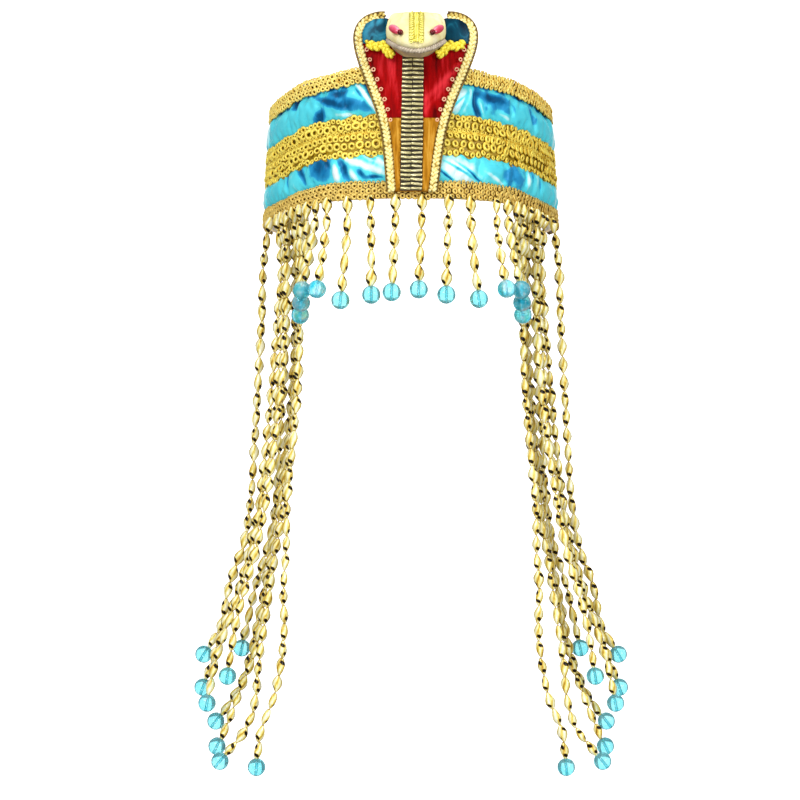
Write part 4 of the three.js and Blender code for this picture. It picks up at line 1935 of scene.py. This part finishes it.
@dataclass(frozen=True)
class SnakeHead:
    """Stuffed head of pale gold lame, with a cord for lips, plastic eyes and a braid down the forehead.

    The chin has painted shade, from so far below the lips to so far below them.
    """

    head: HeadSurface
    wardrobe: Wardrobe
    tree: RepeatTree
    rows: int = 30
    around: int = 41
    back_points: int = 7
    slack: float = 0.3
    swelling: ClothRun = ClothRun(pressure=3.0, slack=0.01, cap=0.9, frames=14)
    chin: tuple[float, float] = (0.5, 2.5)
    chin_dark: float = 0.36
    lip: Cord = Cord(CordStyle.TWIST, 3, 0.72, 0.68, 0.68, 4.6)
    lip_points: int = 90
    lip_radius: float = 1.7
    lip_lift: float = 0.6
    lip_open: float = 0.18
    lip_corner: float = 88.2
    lip_dip: float = 10.5
    braid_points: int = 40
    braid_columns: int = 7
    braid_low: float = 82.5
    braid_lift: float = 0.5
    braid_thick: float = 0.5
    braid_half: float = 3.6
    stripe: Cord = Cord(CordStyle.PLAIT, 3, 0.5, 0.8, 0.3, 3.6)
    stripe_lift: float = 0.5
    loop: tuple[float, float, float] = (0.85, 0.34, 0.15)
    loop_aside: float = 0.66
    loop_lift: float = 0.25
    loop_pitch: float = 2.3
    bead_segments: tuple[int, int] = (28, 16)
    bead_tone: float = 0.3
    eye_size: tuple[float, float, float] = (4.5, 1.5, 2.1)
    eye_place: tuple[float, float] = (9.5, 88.6)
    eye_lift: float = 1.2
    eye_slant: float = 0.85
    eye_cheek: float = 0.55
    eye_brow: float = 0.5
    pupil_radius: float = 1.5
    pupil_place: tuple[float, float] = (7.2, 87.2)
    pupil_lift: float = 0.6

    def build(self) -> list[Object]:
        """Makes the head's pieces.

        Returns:
            The pieces.
        """
        pieces = [self.skull(), self.lips(), self.forehead()]
        for side in Side:
            pieces += [self.eye(side), self.pupil(side)]
        return pieces

    def skull(self) -> Object:
        """The stuffed head, swollen by a cloth simulation from a slightly smaller form.

        Returns:
            The piece.
        """
        z = np.linspace(self.head.sections[0][0], self.head.sections[-1][0], self.rows)
        turns = np.linspace(0, 1, self.around)
        across = np.linspace(1, -1, self.back_points + 2)[1:-1]
        rings = []
        tones = []
        for height in z:
            front = self.head.at(turns, height, -self.slack)
            back = self.head.hood.at(across * self.head.half(height), height, self.head.back)
            rings.append(np.vstack([front, back]))
            # Painted shade on the chin, below the lips
            chin = self.chin_dark * smoothstep(self.lip_height(turns) - height, *self.chin)
            tones += [PLAIN_SHADING - chin, np.full(self.back_points, PLAIN_SHADING)]
        shape = loft(np.stack(rings))
        shape.fold = np.concatenate(tones)
        place = np.arange(len(shape.points)) % (self.around + self.back_points)
        held = (place == 0) | (place >= self.around - 1)
        shape.points = self.swelling.settle(shape.points, shape.faces, held)
        obj = smoothed(shape.to_object("snake_head_lame", self.wardrobe.lame))
        seat(obj, "gold_lame", "snake_head")
        return obj

    def lip_height(self, turns: Array) -> Array:
        """The height of the lips at turns round the head."""
        return self.lip_corner - self.lip_dip * np.sin(math.pi * turns)

    def lips(self) -> Object:
        """The cord along the lips, lowest at the snout.

        Returns:
            The piece.
        """
        turns = np.linspace(self.lip_open, 1 - self.lip_open, self.lip_points)
        z = self.lip_height(turns)
        middle = self.head.at(turns, z, self.lip_radius + self.lip_lift)
        up = self.head.outward(turns, z)
        shape = self.lip.along(middle, unit(beside(middle, up)), up)
        return seat(shape.to_object("mouth_cord_twisted", self.wardrobe.silver), "silver_cord", "mouth_cord")

    def forehead(self) -> Object:
        """The narrow braid down the forehead: a ribbon, a plaited stripe and a row of loops on each side.

        Returns:
            The piece.
        """
        finish = self.wardrobe.head_braid
        z = np.linspace(self.braid_low, self.head.sections[-1][0], self.braid_points)
        low, high = self.braid_lift, self.braid_lift + self.braid_thick
        turns = [self.head.turn(x, z) for x in np.linspace(-1, 1, self.braid_columns) * self.braid_half]
        front = [self.head.at(turn, z, high) for turn in turns]
        back = [self.head.at(turn, z, low) for turn in turns[::-1]]
        parts = [loft(np.stack(front + back, axis=1)).to_object("ribbon", finish)]
        middle = self.head.at(0.5, z, high + self.stripe_lift)
        up = self.head.outward(np.full_like(z, 0.5), z)
        parts.append(self.stripe.along(middle, unit(beside(middle, up)), up).to_object("stripe", finish))
        for side in Side:
            turn = self.head.turn(side.value * self.loop_aside * self.braid_half, z)
            path = self.head.at(turn, z, high + self.loop_lift)
            count = round(distances(path)[-1] / self.loop_pitch)
            repeat = Repeat(count, turn_spread=0.1, tilt_spread=0.2, seed=41)
            loop = ring_unit(*self.loop, around=10)
            outward = self.head.outward(turn, z)
            parts.append(self.tree.along(f"forehead_loops_{side.label}", path, outward, loop, repeat, finish))
        return seat(joined("head_braid_gimp", parts), "head_braid", "head_braid")

    def bead(
        self, name: str, size: Sequence[float], turn: Matrix, place: Array, finish: Material
    ) -> Object:
        """A round bead, stretched, turned and put in place.

        Args:
            name: the object's name.
            size: its half sizes.
            turn: its rotation.
            place: its middle.
            finish: its material.

        Returns:
            The object.
        """
        work = bmesh.new()
        around, down = self.bead_segments
        bmesh.ops.create_uvsphere(work, u_segments=around, v_segments=down, radius=1.0)
        # Painted highlight on the bead's upper half and painted shade on its lower half
        tone = [PLAIN_SHADING + self.bead_tone * vert.co.z for vert in work.verts]
        scale = Matrix.Diagonal((*(s * MM for s in size), 1.0))
        matrix = Matrix.Translation(Vector(place * MM)) @ turn @ scale
        bmesh.ops.transform(work, matrix=matrix, verts=work.verts)
        bmesh.ops.recalc_face_normals(work, faces=work.faces)
        mesh = bpy.data.meshes.new(name)
        work.to_mesh(mesh)
        work.free()
        mesh.attributes.new("fold", "FLOAT", "POINT").data.foreach_set("value", tone)
        mesh.polygons.foreach_set("use_smooth", [True] * len(mesh.polygons))
        return dress(linked(bpy.data.objects.new(name, mesh)), finish)

    def eye(self, side: Side) -> Object:
        """One slanted eye.

        Args:
            side: the half of the head.

        Returns:
            The piece.
        """
        x, z = self.eye_place
        place = self.head.at(self.head.turn(side.value * x, z), z, self.eye_size[1] + self.eye_lift)
        turn = (
            Matrix.Rotation(-self.eye_brow, 4, "X")
            @ Matrix.Rotation(side.value * self.eye_cheek, 4, "Z")
            @ Matrix.Rotation(-side.value * self.eye_slant, 4, "Y")
        )
        obj = self.bead(f"eye_{side.label}_cabochon", self.eye_size, turn, place, self.wardrobe.eye)
        return seat(obj, "eye_plastic", f"eye_{side.label}")

    def pupil(self, side: Side) -> Object:
        """The dark bead at an eye's inner corner.

        Args:
            side: the half of the head.

        Returns:
            The piece.
        """
        x, z = self.pupil_place
        place = self.head.at(self.head.turn(side.value * x, z), z, self.pupil_radius + self.pupil_lift)
        size = (self.pupil_radius,) * 3
        name = f"pupil_{side.label}_bead"
        obj = self.bead(name, size, Matrix.Identity(4), place, self.wardrobe.pupil)
        return seat(obj, "pupil_plastic", f"pupil_{side.label}")


# Strings of beads


@dataclass(frozen=True)
class BrowString:
    """A short string at the brow.

    It has its place along the band, and its ball hangs so far aside, forwards and down. The constants are
    heights on the band and distances out from it: where the string is sewn on, where it comes round the lower
    edge, and where its drop is measured from. Bow is the share aside half way down.
    """

    SEWN: ClassVar[tuple[float, float]] = (2.4, 3.2)
    ROUND: ClassVar[tuple[float, float]] = (-5.0, 1.6)
    EDGE: ClassVar[tuple[float, float]] = (-0.3, 0.6)
    BOW: ClassVar[float] = 0.4

    arc: float
    aside: float
    forward: float
    drop: float

    def line(self, band: BandSurface) -> Array:
        """The string's middle, from the band to its ball.

        Args:
            band: the surface that it hangs from.

        Returns:
            The points of the line.
        """
        top = band.at(self.arc, *self.EDGE)
        end = np.array([top[0] + self.aside, top[1] - self.forward, -self.drop])
        middle = (top + end) / 2
        middle[0] = top[0] + (end[0] - top[0]) * self.BOW
        return smooth_line([band.at(self.arc, *self.SEWN), band.at(self.arc, *self.ROUND), middle, end])


@dataclass(frozen=True)
class TempleStrand:
    """A long strand beside the face.

    Its place along the band and out from it, the depth at which it hangs, its distance from the middle at
    each level that it passes, and how far its ball is from the middle and below the origin. A strand inside
    the band starts at its lower edge, and one outside is sewn on a little higher and further out.
    """

    EDGE: ClassVar[float] = -0.3
    SEWN: ClassVar[float] = 2.4
    SEWN_OUT: ClassVar[float] = 1.6

    arc: float
    out: float
    depth: float
    aside: tuple[float, ...]
    end: float
    drop: float

    def line(self, band: BandSurface, side: Side) -> Array:
        """The strand's middle, from the band to its ball.

        Args:
            band: the surface that it hangs from.
            side: the half of the band.

        Returns:
            The points of the line.
        """
        free = [(side.value * x, self.depth, -down) for x, down in zip(self.aside, STRAND_LEVELS)]
        ball = (side.value * self.end, self.depth, -self.drop)
        z, out = (self.SEWN, self.out + self.SEWN_OUT) if self.out > 0 else (self.EDGE, self.out)
        return smooth_line([band.at(side.value * self.arc, z, out), *free, ball])


BROW_STRINGS = (
    BrowString(-68.0, -0.9, -2.5, 59.2),
    BrowString(-62.0, -3.9, 0.8, 53.0),
    BrowString(-55.0, -8.0, 4.0, 46.8),
    BrowString(-47.0, -5.9, 5.8, 46.7),
    BrowString(-34.2, -4.4, 0.0, 52.6),
    BrowString(-21.4, 0.0, 0.0, 50.0),
    BrowString(-8.3, -2.2, 0.0, 48.8),
    BrowString(5.1, -1.6, 0.0, 47.4),
    BrowString(18.9, -0.8, 0.0, 50.0),
    BrowString(31.0, 5.0, 0.0, 52.0),
    BrowString(47.0, 5.9, 5.8, 46.5),
    BrowString(55.0, 8.0, 4.0, 46.6),
    BrowString(62.0, 3.9, 0.8, 52.8),
    BrowString(68.0, 0.9, -2.5, 59.0),
)
STRAND_LEVELS = (30.0, 60.0, 95.0, 130.0, 160.0, 185.0, 210.0, 230.0, 250.0, 270.0, 285.0)
TEMPLE_STRANDS = (
    TempleStrand(93.5, -4.4, -31.0, (69.5, 70.0, 71.5, 74.0, 76.0, 80.0, 87.5, 92.0), 95.2, 244.6),
    TempleStrand(
        73.8, 1.6, -58.5, (61.5, 61.0, 62.0, 65.0, 68.0, 68.5, 70.0, 69.5, 71.5, 76.0, 82.0), 84.7, 305.8
    ),
    TempleStrand(
        86.5, -4.4, -38.0, (65.0, 65.0, 66.5, 70.0, 74.5, 77.5, 82.0, 86.0, 90.5, 98.5), 109.1, 284.4
    ),
    TempleStrand(
        73.0, -4.4, -51.5, (59.5, 61.5, 63.5, 66.0, 69.5, 74.0, 78.0, 81.0, 84.0, 86.0, 90.5), 105.4, 304.0
    ),
    TempleStrand(85.6, 1.6, -52.0, (69.5, 71.0, 73.5, 76.5, 82.5, 87.0, 94.5, 101.5, 108.0), 112.5, 271.9),
    TempleStrand(
        79.5, -4.4, -44.5, (62.0, 63.5, 65.0, 68.5, 72.0, 75.5, 80.5, 83.5, 88.5, 96.5, 102.0), 107.8, 297.1
    ),
    TempleStrand(91.4, 1.6, -45.0, (72.0, 74.0, 77.0, 80.5, 84.0, 89.0, 96.0, 103.5, 110.5), 115.5, 264.3),
    TempleStrand(79.8, 1.6, -58.5, (68.5, 68.5, 71.0, 75.0, 79.5, 84.5, 91.5, 96.5), 100.6, 256.0),
    TempleStrand(101.0, 1.6, -38.0, (82.5, 83.5, 85.5, 87.5, 89.5, 93.5, 102.0, 106.0), 115.8, 247.0),
)


@dataclass(frozen=True)
class BeadFringe:
    """Strings of twisted diamond beads, each ending in a clear ball."""

    band: BandSurface
    wardrobe: Wardrobe
    tree: RepeatTree
    pitch: float = 9.7
    neck: float = 0.26
    belly: float = 3.0
    flatness: float = 0.86
    half_twist: float = math.pi / 5
    places: tuple[float, ...] = (-0.5, -0.45, -0.38, -0.25, -0.1, 0.1, 0.25, 0.38, 0.45, 0.5)
    spots: tuple[tuple[int, int], ...] = ((3, 1), (6, 3), (6, 7))
    spot: float = -1.0
    thread: float = 0.32
    ball: float = 4.9
    sink: float = 0.7
    hole: float = 0.6
    ball_around: int = 28
    ball_down: int = 16
    milky_from: float = 45.0
    corners: int = 8
    bow_power: float = 1.6
    facet: float = 0.8
    facet_tone: float = 0.92
    corner_tone: float = 0.46
    end_tone: float = 0.36
    packing: float = 0.985
    turn_spread: float = 1.2
    tilt_spread: float = 0.1
    size_spread: float = 0.07
    brow_seed: int = 100
    strand_seed: int = 200

    def bead_unit(self) -> Shape:
        """One flattened four-sided bead of unit length, twisted from end to end.

        Its tone is painted reflection: bright facets, dark corners and ends, and black spots near its ends.

        Returns:
            The bead, with its length along X.
        """
        places = np.array(self.places)
        bow = self.neck + (1 - self.neck) * (1 - np.abs(2 * places) ** self.bow_power)
        angles = circle(self.corners)
        flat = np.arange(self.corners) % 2
        corner = np.where(flat, self.facet, 1.0)
        turn = 2 * places * self.half_twist
        wide = np.cos(angles) * corner * self.belly
        deep = np.sin(angles) * corner * self.belly * self.flatness
        spin_cos, spin_sin = np.cos(turn)[:, None], np.sin(turn)[:, None]
        rings = np.stack(
            [
                np.broadcast_to(places[:, None], (len(places), self.corners)),
                (wide * spin_cos - deep * spin_sin) * bow[:, None],
                (wide * spin_sin + deep * spin_cos) * bow[:, None],
            ],
            axis=-1,
        )
        shape = loft(rings)
        # Each quad is halved against the twist, so that the painted dark reflections stay round
        shape.faces = [face[1:] + face[:1] for face in shape.faces]
        # Painted reflections: facets bright, corners darker, the ends darker still, and black spots where the
        # plating mirrors the dim room
        tone = np.tile(np.where(flat, self.facet_tone, self.corner_tone), (len(places), 1))
        tone[[0, -1]] = self.end_tone
        for ring, side in self.spots:
            tone[ring, side] = self.spot
        shape.fold = tone.ravel()
        return shape

    def ball_shape(self, middle: Array, axis: Array) -> Shape:
        """A drilled ball.

        Args:
            middle: its middle.
            axis: the direction of its hole.

        Returns:
            The ball, with its hole right through.
        """
        start = math.asin(self.hole / self.ball)
        bow = np.linspace(start, math.pi - start, self.ball_down)
        radii = np.concatenate([self.ball * np.sin(bow), [self.hole] * 2])
        along = np.concatenate([self.ball * np.cos(bow), [-0.5 * self.ball, 0.5 * self.ball]])
        first = unit(np.cross(axis, -FORWARD))
        second = np.cross(axis, first)
        angles = circle(self.ball_around)
        spokes = first[None] * np.cos(angles)[:, None] + second[None] * np.sin(angles)[:, None]
        rings = middle + axis * along[:, None, None] + spokes[None] * radii[:, None, None]
        shape = loft(rings, close_ends=False)
        last = (len(radii) - 1) * self.ball_around
        for i in range(self.ball_around):
            j = (i + 1) % self.ball_around
            shape.faces.append((last + i, last + j, j, i))
        return shape

    def string(self, node: str, line: Array, seed: int, milky: bool = False) -> list[Object]:
        """One string with its ball.

        Args:
            node: the part's node that it replaces.
            line: the string's middle.
            seed: of the beads' random turns.
            milky: whether its ball gets the lighter, less clear copy of the acrylic, as painted light.

        Returns:
            The beads and the ball.
        """
        total = distances(line)[-1]
        length = total - self.ball + self.sink
        count = round(length / self.pitch)
        step = length / count
        path = evenly(line, count, step / 2, length - step / 2)
        repeat = Repeat(
            count,
            (step * self.packing, 1.0, 1.0),
            2 * self.half_twist,
            self.turn_spread,
            self.tilt_spread,
            self.size_spread,
            seed,
        )
        facing = everywhere(FORWARD, path)
        beads = self.tree.along(node + "_strung", path, facing, self.bead_unit(), repeat, self.wardrobe.beads)
        thin = evenly(line, 4 * count, 0.0, total - 0.4 * self.ball)
        rod = tube(thin, self.thread, 5, everywhere(FORWARD, thin))
        thread = rod.to_object(node + "_thread", self.wardrobe.thread)
        obj = seat(joined(node + "_beads", [beads, thread]), "gold_beads", node)
        ball = self.ball_shape(line[-1], unit(line[-1] - line[-4]))
        finish = self.wardrobe.milky_balls if milky else self.wardrobe.balls
        return [obj, seat(ball.to_object(node + "_ball", finish), "ball_plastic")]

    def build(self) -> list[Object]:
        """Makes every string.

        Returns:
            The pieces.
        """
        pieces = []
        for i, row in enumerate(BROW_STRINGS):
            # The balls at the ends of the brow take the lighter copy of the acrylic, as painted light
            milky = abs(row.arc) > self.milky_from
            pieces += self.string(f"brow_string_{i + 1}", row.line(self.band), self.brow_seed + i, milky)
        for side in Side:
            for i, row in enumerate(TEMPLE_STRANDS):
                name = f"temple_strand_{side.label}_{i + 1}"
                seed = self.strand_seed + i * 2 + side.value
                pieces += self.string(name, row.line(self.band, side), seed)
        return pieces


# The studio


@dataclass(frozen=True)
class Lamp:
    """A square soft light: its place, where it points, its side and its power in watts; lengths in metres."""

    name: str
    place: tuple[float, float, float]
    target: tuple[float, float, float]
    side: float
    power: float

    def build(self) -> None:
        """Puts the light in the scene."""
        data = bpy.data.lights.new(self.name, "AREA")
        data.size = self.side
        data.energy = self.power
        lamp = linked(bpy.data.objects.new(self.name, data))
        lamp.location = self.place
        lamp.rotation_euler = (Vector(self.target) - Vector(self.place)).to_track_quat("-Z", "Y").to_euler()


@dataclass(frozen=True)
class Studio:
    """Lit white paper behind the part, soft lights and the camera; lengths in metres.

    The paper just fills the picture, so the rims of the balls and of the plating mirror the dim room.
    """

    wall: float = 1.2
    half_width: float = 0.6
    bottom: float = -0.92
    top: float = 0.52
    surround: float = 0.27
    glow: float = 1.0
    bow: float = 0.03
    paper: tuple[tuple[float, str], ...] = ((0.0, "#F2F2F2"), (1.0, "#F8F8F8"))
    eye: tuple[float, float, float] = (-0.0062, -1.0, -0.105)
    focal_pixels: float = 1721.0
    image_pixels: float = 800.0
    sensor: float = 36.0
    lamps: tuple[Lamp, ...] = (
        Lamp("key_softbox", (-0.75, -1.15, 0.75), (0.0, -0.05, -0.05), 0.7, 13.0),
        Lamp("fill_softbox", (0.95, -0.95, 0.25), (0.0, -0.05, -0.1), 0.6, 9.0),
        Lamp("top_softbox", (0.0, -0.35, 1.2), (0.0, 0.0, 0.0), 0.8, 6.0),
        Lamp("low_softbox", (-0.25, -1.2, -0.8), (0.0, -0.05, -0.25), 0.6, 7.5),
    )

    def build(self) -> None:
        """Makes the backdrop, the lights, the surround and the camera."""
        self.backdrop()
        for lamp in self.lamps:
            lamp.build()
        world = bpy.data.worlds.new("studio")
        world.use_nodes = True
        world.node_tree.nodes.clear()
        grey = (self.surround,) * 3 + (1.0,)
        shade = add_node(world.node_tree, "ShaderNodeBackground", {"Color": grey})
        add_node(world.node_tree, "ShaderNodeOutputWorld", {"Surface": shade.outputs[0]})
        scene = bpy.context.scene
        scene.world = world
        scene.view_settings.view_transform = "Standard"
        data = bpy.data.cameras.new("camera")
        data.sensor_width = self.sensor
        data.lens = self.focal_pixels * self.sensor / self.image_pixels
        camera = linked(bpy.data.objects.new("camera", data))
        camera.location = self.eye
        camera.rotation_euler = (math.pi / 2, 0.0, 0.0)
        scene.camera = camera

    def backdrop(self) -> None:
        """The sheet of paper, gently bowed from side to side."""
        across = np.linspace(-1, 1, 13)
        heights = (self.bottom, self.top)
        points = [(x * self.half_width, self.wall - self.bow * x * x, z) for z in heights for x in across]
        mesh = bpy.data.meshes.new("paper_backdrop")
        mesh.from_pydata(points, [], grid_faces(len(heights), len(across)))
        mesh.polygons.foreach_set("use_smooth", [True] * len(mesh.polygons))
        finish = Finish("white_paper_backdrop", self.paper, roughness=0.9, relief=0.0, glow=self.glow)
        dress(linked(bpy.data.objects.new("paper_backdrop", mesh)), finish.material())


def main() -> None:
    """Builds the headband's pieces in order, then the studio."""
    logging.basicConfig(level=logging.INFO, format="%(message)s")
    wardrobe = Wardrobe()
    tree = RepeatTree()
    band = BandSurface()
    hood = HoodSurface(band)
    for braid in braids(wardrobe):
        braid.build(band, tree)
    BandCloth(band, wardrobe).build()
    BackStrap(band, wardrobe).build()
    Hood(hood, wardrobe, tree).build()
    Belly(hood, wardrobe, tree).build()
    SnakeHead(HeadSurface(hood), wardrobe, tree).build()
    BeadFringe(band, wardrobe, tree).build()
    bpy.data.node_groups.remove(tree.tree)
    Studio().build()


if __name__ == "__main__":
    main()
